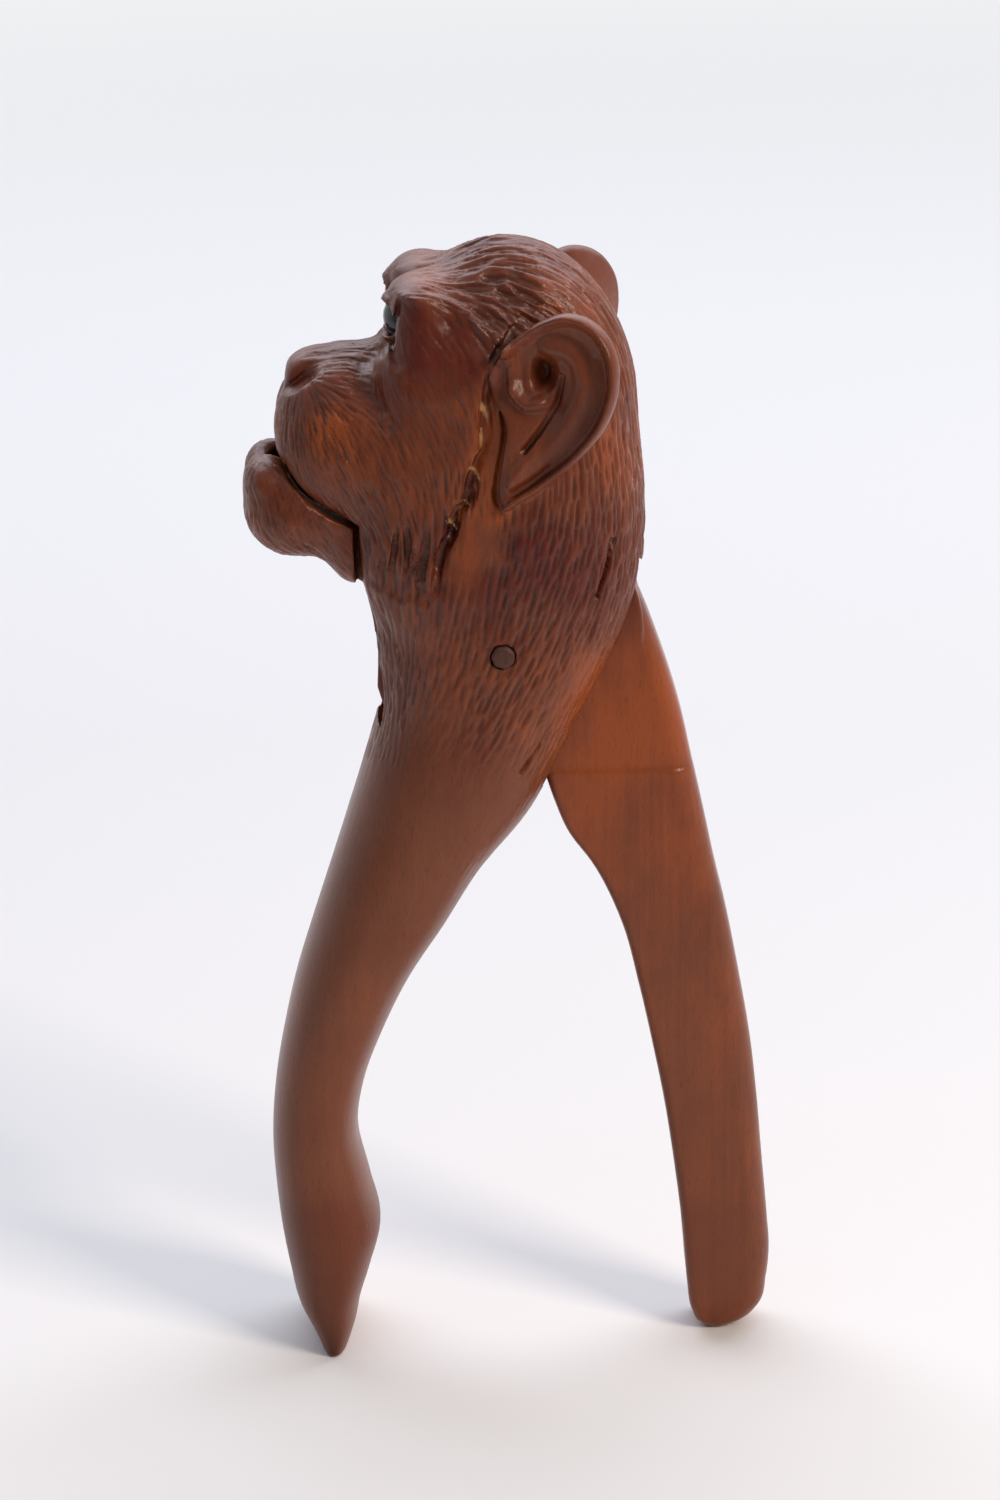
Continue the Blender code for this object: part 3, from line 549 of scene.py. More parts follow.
HEAD_HAIR = {
    "crown": Patch(6.0, 1.10, (
        (0.6, 199.2, 1.0, -0.05, 0.16, 0.1), (4.7, 199.0, 0.99, -0.13, 0.16, 0.08),
        (9.6, 196.2, 0.88, -0.47, 0.16, 0.06), (14.4, 191.6, 0.68, -0.73, 0.16, 0.05),
        (17.3, 187.6, 0.43, -0.91, 0.16, 0.05), (7.0, 194.5, 0.88, -0.47, 0.16, 0.12),
        (-3.5, 198.0, 0.88, 0.47, 0.28, 0.3), (-5.2, 197.2, 0.95, 0.3, 0.15, 0.15),
    )),
    "temple locks": Patch(3.8, 1.15, (
        (-1.2, 195.7, 1.0, -0.0, 0.22, 0.55), (-2.8, 193.9, 0.98, -0.21, 0.18, 0.4),
        (2.1, 194.3, 0.84, -0.54, 0.24, 0.65), (4.4, 192.1, 0.82, -0.58, 0.24, 0.6),
        (0.3, 191.0, 0.78, -0.62, 0.24, 0.65), (-2.1, 189.0, 0.68, -0.73, 0.22, 0.45),
        (1.9, 189.8, 0.74, -0.68, 0.22, 0.55), (-4.0, 191.2, 0.88, -0.47, 0.18, 0.25),
        (7.7, 191.8, 0.82, -0.58, 0.18, 0.15),
    )),
    "brow": Patch(4.5, 0.95, (
        (-15.0, 195.5, 0.95, -0.3, 0.05, 0.05), (-11.8, 194.8, 0.92, -0.39, 0.12, 0.1),
        (-8.5, 195.5, 0.98, -0.21, 0.08, 0.05), (-7.7, 193.2, 0.9, -0.43, 0.15, 0.1),
    )),
    "plane behind the eye": Patch(6.0, 1.20, (
        (-13.5, 190.1, 0.68, -0.73, 0.09, 0.04), (-10.3, 186.9, 0.58, -0.82, 0.09, 0.04),
        (-15.2, 185.2, 0.39, -0.92, 0.06, 0.02), (-6.2, 188.3, 0.58, -0.82, 0.1, 0.05),
        (-5.5, 183.8, 0.48, -0.88, 0.08, 0.03), (-12.1, 180.5, 0.48, -0.88, 0.07, 0.02),
    )),
    "nose": Patch(7.0, 0.90, (
        (-30.5, 181.8, 1.0, -0.03, 0.1, 0.05), (-25.4, 182.2, 1.0, -0.0, 0.12, 0.06),
        (-26.1, 180.5, 0.99, -0.13, 0.15, 0.12), (-33.7, 180.3, 0.93, -0.37, 0.02, 0.0),
        (-34.5, 177.6, 0.51, -0.86, 0.0, 0.0), (-28.6, 178.7, 0.92, -0.38, 0.08, 0.05),
    )),
    "muzzle": Patch(3.6, 0.85, (
        (-29.4, 176.6, 0.58, -0.82, 0.2, 0.1), (-26.2, 175.9, 0.76, -0.65, 0.2, 0.1),
        (-33.7, 173.9, 0.28, -0.96, 0.1, 0.03), (-37.2, 169.8, 0.05, -1.0, 0.1, 0.03),
        (-32.0, 171.1, 0.28, -0.96, 0.2, 0.06), (-27.1, 171.3, 0.48, -0.88, 0.15, 0.05),
        (-22.1, 171.4, 0.54, -0.84, 0.12, 0.05), (-33.9, 164.9, 0.28, -0.96, 0.1, 0.03),
        (-29.1, 160.9, 0.43, -0.91, 0.12, 0.04), (-22.4, 163.3, 0.43, -0.91, 0.12, 0.05),
        (-23.7, 176.6, 0.83, -0.55, 0.1, 0.05), (-21.2, 179.0, 0.58, -0.82, 0.08, 0.03),
    )),
    "cheek": Patch(4.6, 0.95, (
        (-17.1, 176.8, 0.48, -0.88, 0.08, 0.02), (-13.9, 171.9, 0.48, -0.88, 0.1, 0.04),
        (-8.9, 177.3, 0.48, -0.88, 0.08, 0.02), (-9.1, 170.5, 0.28, -0.96, 0.12, 0.06),
        (-5.7, 174.0, 0.14, -0.99, 0.12, 0.08), (-17.4, 165.2, 0.43, -0.91, 0.12, 0.05),
        (-12.6, 160.2, 0.18, -0.98, 0.15, 0.1), (-8.5, 160.2, -0.05, -1.0, 0.18, 0.18),
        (-17.6, 156.6, 0.28, -0.96, 0.15, 0.08), (-22.6, 156.1, 0.48, -0.88, 0.12, 0.05),
    )),
    "beard": Patch(6.5, 1.25, (
        (-11.1, 153.3, -0.09, -1.0, 0.2, 0.2), (-15.3, 149.9, -0.09, -1.0, 0.2, 0.28),
        (-18.7, 146.1, -0.14, -0.99, 0.16, 0.25), (-12.9, 146.4, -0.09, -1.0, 0.2, 0.3),
        (-21.1, 149.3, 0.09, -1.0, 0.15, 0.12), (-23.0, 143.0, -0.09, -1.0, 0.12, 0.08),
        (-16.4, 141.7, -0.09, -1.0, 0.16, 0.15),
    )),
    "smooth strip behind the ruff": Patch(4.0, 1.20, (
        (-1.8, 168.6, 0.0, -1.0, 0.02, 0.0), (-4.5, 153.0, -0.09, -1.0, 0.02, 0.0),
        (-7.1, 148.0, -0.18, -0.98, 0.02, 0.0),
    )),
    "neck": Patch(4.6, 1.15, (
        (2.0, 153.5, -0.14, -0.99, 0.2, 0.06), (-1.4, 146.3, -0.23, -0.97, 0.22, 0.08),
        (5.2, 142.6, -0.31, -0.95, 0.22, 0.08), (-4.8, 139.1, -0.18, -0.98, 0.18, 0.06),
        (8.6, 149.6, -0.23, -0.97, 0.22, 0.06), (13.6, 155.9, -0.09, -1.0, 0.2, 0.05),
        (18.0, 166.4, 0.0, -1.0, 0.18, 0.04), (19.0, 174.2, 0.09, -1.0, 0.16, 0.03),
        (15.2, 148.4, -0.18, -0.98, 0.2, 0.05), (11.8, 138.1, -0.35, -0.94, 0.2, 0.05),
        (5.0, 131.6, -0.43, -0.91, 0.2, 0.05), (-1.8, 126.6, -0.43, -0.91, 0.2, 0.06),
        (-6.7, 128.4, -0.31, -0.95, 0.14, 0.04), (-13.2, 135.2, -0.23, -0.97, 0.12, 0.03),
        (-18.3, 132.4, -0.18, -0.98, 0.14, 0.04), (-18.6, 125.0, -0.27, -0.96, 0.16, 0.04),
        (-22.3, 116.5, -0.23, -0.97, 0.08, 0.02), (-11.9, 121.0, -0.35, -0.94, 0.08, 0.02),
        (-5.3, 117.6, -0.46, -0.89, 0.14, 0.03), (1.5, 120.9, -0.49, -0.87, 0.18, 0.04),
        (6.6, 123.9, -0.46, -0.89, 0.12, 0.03), (11.7, 126.5, -0.43, -0.91, 0.08, 0.02),
    )),
    "handle": Patch(5.0, 1.30, (
        (-19.0, 106.2, -0.27, -0.96, 0.0, 0.0), (-10.5, 110.4, -0.43, -0.91, 0.03, 0.0),
        (-28.1, 87.3, -0.18, -0.98, 0.0, 0.0), (-32.8, 49.9, 0.0, -1.0, 0.0, 0.0),
        (-30.5, 10.9, 0.0, -1.0, 0.0, 0.0), (-5.5, 106.5, -0.43, -0.91, 0.03, 0.0),
    )),
}
# Tone of the wood, from a dark red to an orange where hands have rubbed, with painted light and shade
# in it: the temple plane and the neck under the ear sit darker as painted shade, the muzzle paler as painted
# light
TONE_AND_PAINTED_LIGHT = np.array([
    (-12.0, 185.0, -1.0), (-14.0, 190.0, -0.9), (-8.0, 183.0, -0.7), (-12.0, 194.5, 0.1),
    (0.0, 196.0, -0.1), (12.0, 193.0, 0.2), (18.0, 180.0, 0.3), (19.0, 165.0, 0.4),
    (10.0, 158.0, 0.0), (3.0, 151.0, -1.1), (9.0, 152.0, -0.8), (-1.0, 147.0, -0.7),
    (5.0, 156.0, -0.7), (7.0, 147.0, -1.0), (2.0, 145.0, -1.0), (3.0, 140.0, -0.2),
    (-3.5, 150.0, 0.5), (-1.8, 160.0, 1.5), (-2.0, 168.0, 1.6), (-2.5, 175.0, 0.5),
    (-10.0, 170.0, -0.2), (-17.0, 165.0, 0.0), (-24.0, 168.0, 0.2), (-29.0, 170.5, 1.1),
    (-27.0, 165.0, 0.4), (-35.0, 168.0, 0.2), (-20.0, 155.0, -0.2), (-14.0, 148.0, -0.3),
    (-32.0, 180.0, -0.3), (-24.0, 180.0, -0.2), (-34.0, 177.0, -0.6), (5.0, 182.0, -0.4),
    (9.0, 176.0, -0.3), (4.0, 166.0, -0.3), (14.0, 180.0, 0.0), (-10.0, 130.0, 0.1),
    (4.0, 125.0, 0.0), (-18.0, 125.0, -0.1), (-8.0, 112.0, -0.3), (-20.0, 95.0, -0.1),
    (-33.0, 60.0, 0.0), (-36.0, 35.0, -0.1), (-36.0, 24.0, -1.1), (-35.0, 15.0, -1.3),
    (-34.0, 3.0, -1.0), (-38.0, 152.0, 0.3), (-42.0, 160.0, -0.2), (-32.0, 147.0, 0.0),
    (20.0, 115.0, 1.0), (14.0, 122.0, 0.9), (26.0, 100.0, 0.5), (32.0, 70.0, 0.3),
    (34.0, 40.0, 0.2), (36.0, 10.0, 0.1),
])


def tone_and_painted_light(points: Array) -> Array:
    """The tone, painted light and shade included, at each point by its place in the side view."""
    return Chart.spread(TONE_AND_PAINTED_LIGHT, (-46.0, -4.0), 3.0, 2.0).at(points[:, 0], points[:, 2])[:, 0]


JAW_HAIR = {
    "lips and chin": Patch(3.6, 0.9, (
        (-43.5, 161.0, 0.3, -0.95, 0.08, 0.03), (-43.0, 153.0, 0.1, -0.99, 0.12, 0.04),
        (-40.0, 149.0, 0.6, -0.8, 0.12, 0.04), (-37.0, 156.0, 0.3, -0.95, 0.14, 0.04),
        (-32.0, 152.0, 0.45, -0.9, 0.14, 0.04), (-27.0, 148.0, 0.6, -0.8, 0.1, 0.03),
        (-24.0, 142.0, 0.3, -0.95, 0.04, 0.0),
    )),
    "handle": Patch(4.0, 1.2, (
        (10.0, 120.0, -0.3, -0.95, 0.0, 0.0), (25.0, 60.0, 0.0, -1.0, 0.0, 0.0),
    )),
}


@dataclass(frozen=True)
class Tool:
    """A carver's tool, by how its strokes stand to the hair's own length, spacing and depth.

    Share is its half width over its spacing. Sharp is the power of the fall to the sides, one for a
    V and two for a scoop. Turn is added to the coat's seed.
    """

    length: float
    spacing: float
    depth: float
    share: float
    sharp: float
    turn: int


GOUGE = Tool(1.7, 2.3, 1.6, 0.5, 2.0, 11)
PARTING_TOOL = Tool(1.0, 1.0, 1.9, 0.42, 1.0, 12)


@dataclass(frozen=True)
class Coat:
    """Hair cut into a skin along the way it grows, stroke by stroke, as a carver cuts it.

    Broad scoops part the locks, narrow V cuts part the strands, and a faint streaky grain lies
    between them. Cuts shallower than the least are left out. Strokes keep apart by a share of their
    length along the growth and of their spacing across it, and each one's length, breadth and depth
    are drawn at random within their ranges.
    """

    patches: dict[str, Patch]
    seed: int = 3
    grain_cell: float = 0.8
    grain_depth: float = 0.05
    grain_step: float = 0.45
    walk_steps: int = 9
    cell: float = 3.0
    least: float = 0.03
    room: Pair = (0.62, 0.8)
    lot: int = 400
    most_lots: int = 100
    joints: int = 7
    lengths: Pair = (0.7, 1.35)
    breadths: Pair = (0.8, 1.25)
    depths: Pair = (0.6, 1.3)
    full_hair: float = 0.12

    @cached_property
    def growth(self) -> Chart:
        """The hair's direction, depths, length and spacing over the side view."""
        rows = np.vstack([patch.table() for patch in self.patches.values()])
        return Chart.spread(rows, (-46.0, -2.0), 1.0, 2.5)

    def headings(self, places: Array, outward: Array) -> Array:
        """Which way the hair runs: its direction in the side view, laid into the skin.

        Args:
            places: Rows of x, y and z.
            outward: The skin's outward direction at each place.

        Returns:
            A direction for each place, one long but where the skin faces the growth.
        """
        flow = self.growth.at(places[:, 0], places[:, 2])[:, :2]
        heading = np.stack([flow[:, 0], np.zeros(len(flow), np.float32), flow[:, 1]], axis=-1)
        heading -= (heading * outward).sum(axis=1, keepdims=True) * outward
        return heading / np.maximum(np.linalg.norm(heading, axis=1, keepdims=True), 0.2)

    def grain(self, skin: Skin) -> Array:
        """Random grain drawn out along the growth: its sum over a short walk both ways.

        Args:
            skin: The skin.

        Returns:
            A value for each point, with a spread of one.
        """
        noise = Grain(self.seed)
        total = noise.at(skin.points / self.grain_cell)
        for way in (1.0, -1.0):
            place = skin.points.copy()
            for _ in range(self.walk_steps):
                heading = self.headings(place, skin.outward)
                place = place + heading * np.float32(way * self.grain_step * self.grain_cell)
                total = total + noise.at(place / self.grain_cell)
        return total / total.std()

    def sown(self, skin: Skin, marks: Array, chance: np.random.Generator) -> Array:
        """Choose where strokes lie: random points, kept apart along and across the growth.

        Args:
            skin: The skin to cut.
            marks: Rows of length, spacing and depth, one for each point of the skin.
            chance: The source of random numbers.

        Returns:
            Numbers of the chosen points.
        """
        open_points = np.flatnonzero(marks[:, 2] > self.least)
        order = chance.permutation(open_points)
        kept = order[:0]

        def crowded(picked: Array, others: Array) -> Array:
            """Which of the others lie within a stroke's room of each picked point, an ellipse."""
            heading = self.headings(skin.points[picked], skin.outward[picked])
            gap = skin.points[others][None] - skin.points[picked][:, None]
            along = (gap * heading[:, None]).sum(axis=-1)
            square = (gap * gap).sum(axis=-1) - along**2
            long, wide = marks[picked, :1] * self.room[0], marks[picked, 1:2] * self.room[1]
            return (along / long) ** 2 + square / wide**2 < 1.0

        for start in range(0, min(len(order), self.lot * self.most_lots), self.lot):
            picked = order[start : start + self.lot]
            picked = picked[~crowded(picked, kept).any(axis=1)]
            clash = np.tril(crowded(picked, picked), -1)
            kept = np.concatenate([kept, picked[~clash.any(axis=1)]])
        return kept

    def trails(self, skin: Skin, chosen: Array, length: Array) -> Array:
        """The middle lines of strokes: short straight pieces, each along the growth where it is.

        Args:
            skin: The skin to cut.
            chosen: Numbers of the points that the strokes' middles lie at.
            length: How long each stroke is.

        Returns:
            For each stroke, its joints in order.
        """
        trail = np.empty((len(chosen), self.joints, 3), np.float32)
        middle = self.joints // 2
        trail[:, middle] = skin.points[chosen]
        for way in (1, -1):
            place = skin.points[chosen]
            for number in range(middle):
                heading = self.headings(place, skin.outward[chosen])
                place = place + heading * (way * length / (self.joints - 1))[:, None].astype(np.float32)
                trail[:, middle + way * (number + 1)] = place
        return trail

    def strokes(self, skin: Skin, hair: tuple[Array, ...], tool: Tool) -> Array:
        """How deep a set of strokes cuts at each point of the skin.

        Each stroke follows the growth. Its half width is a share of the spacing and narrows toward
        both ends as a circle does, and its depth falls from the middle line to the sides.

        Args:
            skin: The skin to cut.
            hair: The hair's length, spacing and depth at each point.
            tool: What the strokes are cut with.

        Returns:
            The depth at each point.
        """
        length, spacing, depth = hair
        marks = np.stack([length * tool.length, spacing * tool.spacing, depth * tool.depth], axis=-1)
        chance = np.random.default_rng(self.seed + tool.turn)
        chosen = self.sown(skin, marks, chance)
        length = marks[chosen, 0] * chance.uniform(*self.lengths, len(chosen))
        breadth = marks[chosen, 1] * tool.share * chance.uniform(*self.breadths, len(chosen))
        deep = marks[chosen, 2] * chance.uniform(*self.depths, len(chosen))
        trail = self.trails(skin, chosen, length)
        # The points are sorted by cell, so that each stroke looks only at those in its own cells
        cells, beyond, beside, thickness = 4096, 20.0, 0.3, 1.5
        low = skin.points.min(axis=0) - beyond
        grid = ((skin.points - low) / self.cell).astype(np.int64)
        key = (grid[:, 0] * cells + grid[:, 1]) * cells + grid[:, 2]
        order = np.argsort(key, kind="stable")
        key = key[order]
        margin = breadth[:, None] + beside
        first = ((trail.min(axis=1) - margin - low) / self.cell).astype(np.int64)
        last = ((trail.max(axis=1) + margin - low) / self.cell).astype(np.int64)
        found = np.zeros(len(skin.points), np.float32)
        for number in range(len(chosen)):
            rows = [
                (i * cells + j) * cells
                for i in range(first[number, 0], last[number, 0] + 1)
                for j in range(first[number, 1], last[number, 1] + 1)
            ]
            starts = np.searchsorted(key, np.array(rows) + first[number, 2])
            ends = np.searchsorted(key, np.array(rows) + last[number, 2] + 1)
            near = np.concatenate([order[a:b] for a, b in zip(starts, ends)])
            if not len(near):
                continue
            gap = skin.points[near][:, None] - trail[number, :-1][None]
            run = trail[number, 1:] - trail[number, :-1]
            part = np.clip((gap * run).sum(axis=-1) / ((run * run).sum(axis=-1) + TINY), 0.0, 1.0)
            gap = gap - part[..., None] * run
            rise = (gap * skin.outward[near][:, None]).sum(axis=-1, keepdims=True)
            gap = gap - rise * skin.outward[near][:, None] * (np.abs(rise) < thickness)
            away = np.sqrt((gap * gap).sum(axis=-1))
            best = away.argmin(axis=1)
            pick = np.arange(len(near))
            along = (best + part[pick, best]) / (self.joints - 1)
            leaf = np.sqrt(np.clip(1.0 - (2.0 * along - 1.0) ** 2, 0.0, 1.0))
            half_width = breadth[number] * (0.25 + 0.75 * leaf)
            fall = np.clip(1.0 - away[pick, best] / half_width, 0.0, 1.0)
            if tool.sharp > 1.0:
                fall = 1.0 - (1.0 - fall) ** tool.sharp
            found[near] = np.maximum(found[near], deep[number] * leaf * fall)
        LOG.info("%d strokes", len(chosen))
        return found

    def cut(self, skin: Skin) -> Array:
        """Sink scoops between locks, V cuts between strands and faint streaks over both.

        Args:
            skin: The skin, whose points move inward.

        Returns:
            How much of a groove each point lies in, from nought to one.
        """
        chart = self.growth.at(skin.points[:, 0], skin.points[:, 2])
        allowed = self.allowed(skin)
        strand, lock, length, spacing = chart[:, 2:6].T
        strand, lock = strand * allowed, lock * allowed
        scoops = self.strokes(skin, (length, spacing, lock), GOUGE)
        cuts = self.strokes(skin, (length, spacing, strand), PARTING_TOOL)
        grain = np.clip(self.grain(skin), -2.0, 2.0)
        streaks = grain * self.grain_depth * np.clip(strand / self.full_hair, 0.0, 1.2)
        skin.points -= skin.outward * (scoops + cuts + streaks)[:, None]
        full_cut, full_scoop = 0.3, 0.9
        return np.clip(cuts / full_cut + scoops / full_scoop + streaks, 0.0, 1.0)

    def allowed(self, skin: Skin) -> Array:
        """Where hair may be cut: one everywhere here, the kinds of coat keeping it out of slots and holes.
        """
        return np.ones(len(skin.points), np.float32)


# The ear, told in its own plane: backward, upward and outward from its hollow


@dataclass(frozen=True)
class Ear:
    """One ear: a rolled rim round a shallow field with its inner ridge, hollow and tragus.

    The lines are told backward and upward from the hollow's middle. Of the smoothed rim's points,
    the fore part runs along the cheek and the rear part is the rolled edge.
    """

    side: Side
    behind: float = 4.6
    above: float = 180.0
    aside: float = 21.2
    flare: float = math.radians(24)
    farther_back: float = 1.5
    rim_points: int = 160
    fore_part: tuple[int, int] = (101, 150)
    rear_part: tuple[int, int] = (156, 256)
    rim: Array = array_of(
        (-6.9, 3.0), (-4.3, 6.4), (-0.4, 9.6), (2.8, 11.4), (5.8, 12.3), (9.4, 11.7),
        (12.4, 9.5), (14.4, 5.8), (14.7, 1.0), (13.6, -3.5), (11.2, -7.9), (7.0, -12.7),
        (1.7, -17.2), (-2.2, -19.9), (-4.9, -21.6), (-5.7, -20.7), (-5.9, -16.5), (-5.1, -11.9),
        (-4.3, -8.1), (-4.8, -6.0), (-6.0, -4.2), (-7.4, -2.0), (-7.9, 0.3),
    )
    inner_ridge: Array = array_of(
        (2.6, 6.4), (5.3, 6.2), (7.4, 4.8), (8.4, 2.2), (8.2, -1.0), (6.3, -5.0), (2.9, -9.6),
        (-0.8, -13.6), (-3.4, -16.6),
    )
    outer_groove: Array = array_of(
        (11.6, 5.0), (12.4, 0.7), (11.4, -4.4), (8.2, -9.6), (3.1, -14.3), (-2.9, -18.3),
    )
    inner_groove: Array = array_of(
        (4.6, 1.5), (4.2, -1.0), (3.4, -3.4), (1.2, -7.2), (-1.5, -11.0),
    )
    tragus_ridge: Array = array_of(
        (-4.2, 5.6), (-3.7, 2.9), (-3.6, 0.2), (-2.9, -1.9), (-0.9, -3.3), (1.0, -3.0),
    )

    @property
    def middle(self) -> Array:
        """The middle of the ear's hollow."""
        back = self.farther_back if self.side is Side.RIGHT else 0.0
        return np.array([self.behind + back, self.side.value * self.aside, self.above])

    @property
    def axes(self) -> tuple[Array, Array]:
        """The ear's backward and outward directions."""
        c, s = math.cos(self.flare), math.sin(self.flare)
        return np.array([c, self.side.value * s, 0.0]), np.array([-s, self.side.value * c, 0.0])

    @cached_property
    def chart(self) -> Chart:
        """Edge distance, front height and back height over the ear's own plane.

        The front is a profile by the depth in from the edge, rolled behind and plain before, to
        which each ridge, groove and hollow adds a soft rise or takes one away.

        Returns:
            A chart whose three values are in millimetres.
        """
        low, high, pitch = (-12.0, -26.0), (19.0, 17.0), 0.2
        u, v = Chart.lattice(low, high, pitch)
        rim = smooth_line(self.rim, self.rim_points, closed=True)
        edge = outline_distance(u, v, rim)
        depth = -edge
        fore_edge = line_distance(u, v, rim[np.arange(*self.fore_part)])
        rear_edge = line_distance(u, v, rim[np.arange(*self.rear_part) % len(rim)])
        back_part = ease(fore_edge - rear_edge, -1.6, 1.2)
        rolled = np.interp(depth, [0.0, 0.5, 0.9, 2.3, 2.8, 4.2], [0.5, 1.25, 1.15, -0.45, -0.5, -0.9])
        plain = np.interp(depth, [0.0, 0.35, 3.0], [0.15, 0.4, -0.3])
        front = plain * (1.0 - back_part) + rolled * back_part

        def worked(line: Array, width: float, height: float) -> Array:
            """A ridge along a line, or a groove if its height is negative."""
            return height * bump(line_distance(u, v, smooth_line(line, 40)), width)

        def pressed(middle: Pair, half: Pair, height: float) -> Array:
            """A round swelling, or a hollow if its height is negative."""
            away = np.hypot((u - middle[0]) / half[0], (v - middle[1]) / half[1])
            return height * bump(away, 1.0)

        lobe = ease(-v, 3.0, 8.0) * pressed((-1.5, -10.0), (5.0, 8.0), 1.0)
        front = front + 0.5 * lobe + 1.1 * ease(-u, -1.5, 4.5) * ease(-v, 1.0, 7.0)
        front = front + worked(self.inner_ridge, 2.6, 1.25) * ease(depth, 0.5, 2.5)
        front = front + worked(self.outer_groove, 1.5, -0.7) * ease(depth, 0.8, 1.6)
        front = front + worked(self.inner_groove, 0.9, -0.9)
        front = front + pressed((1.6, 1.6), (3.2, 4.4), -2.6)
        front = front + pressed((0.3, 1.6), (1.3, 3.0), -2.4)
        front = front + worked(self.tragus_ridge, 1.7, 1.3)
        front = front + 0.7 * bump(np.hypot(u + 3.3, v + 0.8), 1.6)
        back = -1.7 - 0.75 * np.clip(depth, 0.0, 9.0)
        return Chart.layered(low, pitch, edge, front, back)

    def held(self, places: Array) -> tuple[Array, Array, Array]:
        """How far places lie backward, upward and outward from the ear's middle."""
        backward, outward = self.axes
        offset = places - self.middle
        return offset @ backward, offset[:, 2], offset @ outward

    def cover(self, places: Array) -> Array:
        """One on the ear's plate and nought off it."""
        u, v, w = self.held(places)
        return ease(-self.chart.at(u, v)[:, 0], -0.6, 0.2) * ease(w, -5.5, -3.0)

    def distance(self, places: Array) -> Array:
        """How far places lie outside the ear: beyond its edge, its front or its back."""
        u, v, w = self.held(places)
        edge, front, back = self.chart.at(u, v).T
        return smooth_greatest(smooth_greatest(edge, (w - front) * 0.85, 0.7), (back - w) * 0.8, 0.9)


EARS = tuple(Ear(side) for side in Side)


def on_ears(points: Array) -> Array:
    """One on the plate of either ear and nought elsewhere."""
    return sum(ear.cover(points) for ear in EARS)


@dataclass(frozen=True)
class Socket:
    """One eye's place: its seat, the ball that its lens lies in and the slit between the lids.

    The lids are as thick as the lid says and stand off the ball by their room. The slit is told by
    its half length and half height.
    """

    side: Side
    ahead: float = -17.0
    aside: float = 8.4
    above: float = 188.6
    turn: float = math.radians(14)
    radius: float = 3.9
    dome: float = 2.6
    lid: float = 1.1
    lid_room: float = 0.25
    seat_room: float = 0.15
    slit: Pair = (4.6, 2.7)

    @property
    def middle(self) -> Array:
        """The middle of the lens's flat back."""
        return np.array([self.ahead, self.side.value * self.aside, self.above])

    @property
    def axis(self) -> Array:
        """The way the eye looks."""
        return np.array([-math.cos(self.turn), self.side.value * math.sin(self.turn), 0.0])

    @property
    def ball(self) -> float:
        """The radius of the lens's dome, from its width and its rise."""
        return (self.radius**2 + self.dome**2) / (2 * self.dome)

    def parts(self, places: Array) -> tuple[Array, Array, Array]:
        """How far places lie along the eye's axis, across it and above it."""
        offset = places - self.middle
        along = offset @ self.axis
        level = np.cross(UPRIGHT, self.axis)
        return along, offset @ level, offset[:, 2]


# The head with its neck and front handle


@dataclass(frozen=True)
class Ledge:
    """A step along a line in the side view: the skin on the line's left, going along it, is let in.

    The step is as wide as its edge, eases out over its reach, and fades in at both ends. With a
    fall it drops off as (1 - past / reach) to that power instead, which leaves a plane below a
    crisp corner.
    """

    places: Path
    depth: float
    reach: float
    edge: float = 0.7
    fade: float = 3.0
    fall: float = 0.0

    def relief(self, x: Array, z: Array) -> Array:
        """How far the skin is let in: full just past the line and less farther off.

        Args:
            x: The places' x in the side view.
            z: Their z.

        Returns:
            The depth at each place.
        """
        path = smooth_line(np.array(self.places), 40)
        least = np.full(x.shape, np.inf)
        side, along = np.zeros(x.shape), np.zeros(x.shape)
        gone = 0.0
        for start, end in zip(path[:-1], path[1:]):
            run = end - start
            length = float(np.hypot(*run))
            part = ((x - start[0]) * run[0] + (z - start[1]) * run[1]) / length**2
            held = np.clip(part, 0.0, 1.0)
            away = np.hypot(x - start[0] - held * run[0], z - start[1] - held * run[1])
            nearer = away < least
            least = np.where(nearer, away, least)
            left = ((z - start[1]) * run[0] - (x - start[0]) * run[1]) / length
            side = np.where(nearer, left, side)
            along = np.where(nearer, gone + held * length, along)
            gone += length
        ends = ease(along, 0.0, self.fade) * (1.0 - ease(along, gone - self.fade, gone))
        past = np.where(side > 0, least, -least)
        kept = 1.0 - ease(past, self.edge, self.reach)
        if self.fall:
            kept = np.clip(1.0 - past / self.reach, 0.0, 1.0) ** self.fall
        return self.depth * ends * ease(past, -self.edge * HALF, self.edge * HALF) * kept


@dataclass(frozen=True)
class Furrow:
    """A groove along a line in the side view, or a ridge if its depth is negative."""

    places: Path
    depth: float
    width: float
    taper: float = 1.5

    def relief(self, x: Array, z: Array) -> Array:
        """How far the skin is let in: deepest on the line, and shallower at both ends."""
        path = smooth_line(np.array(self.places), 30)
        ends = [ease(np.hypot(x - end[0], z - end[1]), 0.0, self.taper) for end in (path[0], path[-1])]
        return self.depth * bump(line_distance(x, z, path), self.width) * ends[0] * ends[1]


@dataclass(frozen=True)
class Chip:
    """A leaf-shaped facet left by one cut of a gouge, in the side view."""

    x: float
    z: float
    length: float
    width: float
    lean: float
    depth: float

    def relief(self, x: Array, z: Array) -> Array:
        """A hollow that is deepest toward its left side, as a tilted gouge leaves it."""
        c, s = math.cos(math.radians(self.lean)), math.sin(math.radians(self.lean))
        along = ((x - self.x) * s + (z - self.z) * c) / (self.length * HALF)
        across = ((x - self.x) * c - (z - self.z) * s) / (self.width * HALF)
        leaf = np.clip(1.0 - along**2, 0.0, 1.0)
        across = across / np.maximum(leaf, 0.05)
        slope = np.clip(np.minimum((across + 1.0) * 2.0, 1.0 - across), 0.0, 1.0)
        return self.depth * np.sqrt(leaf) * slope * (leaf > 0.0)


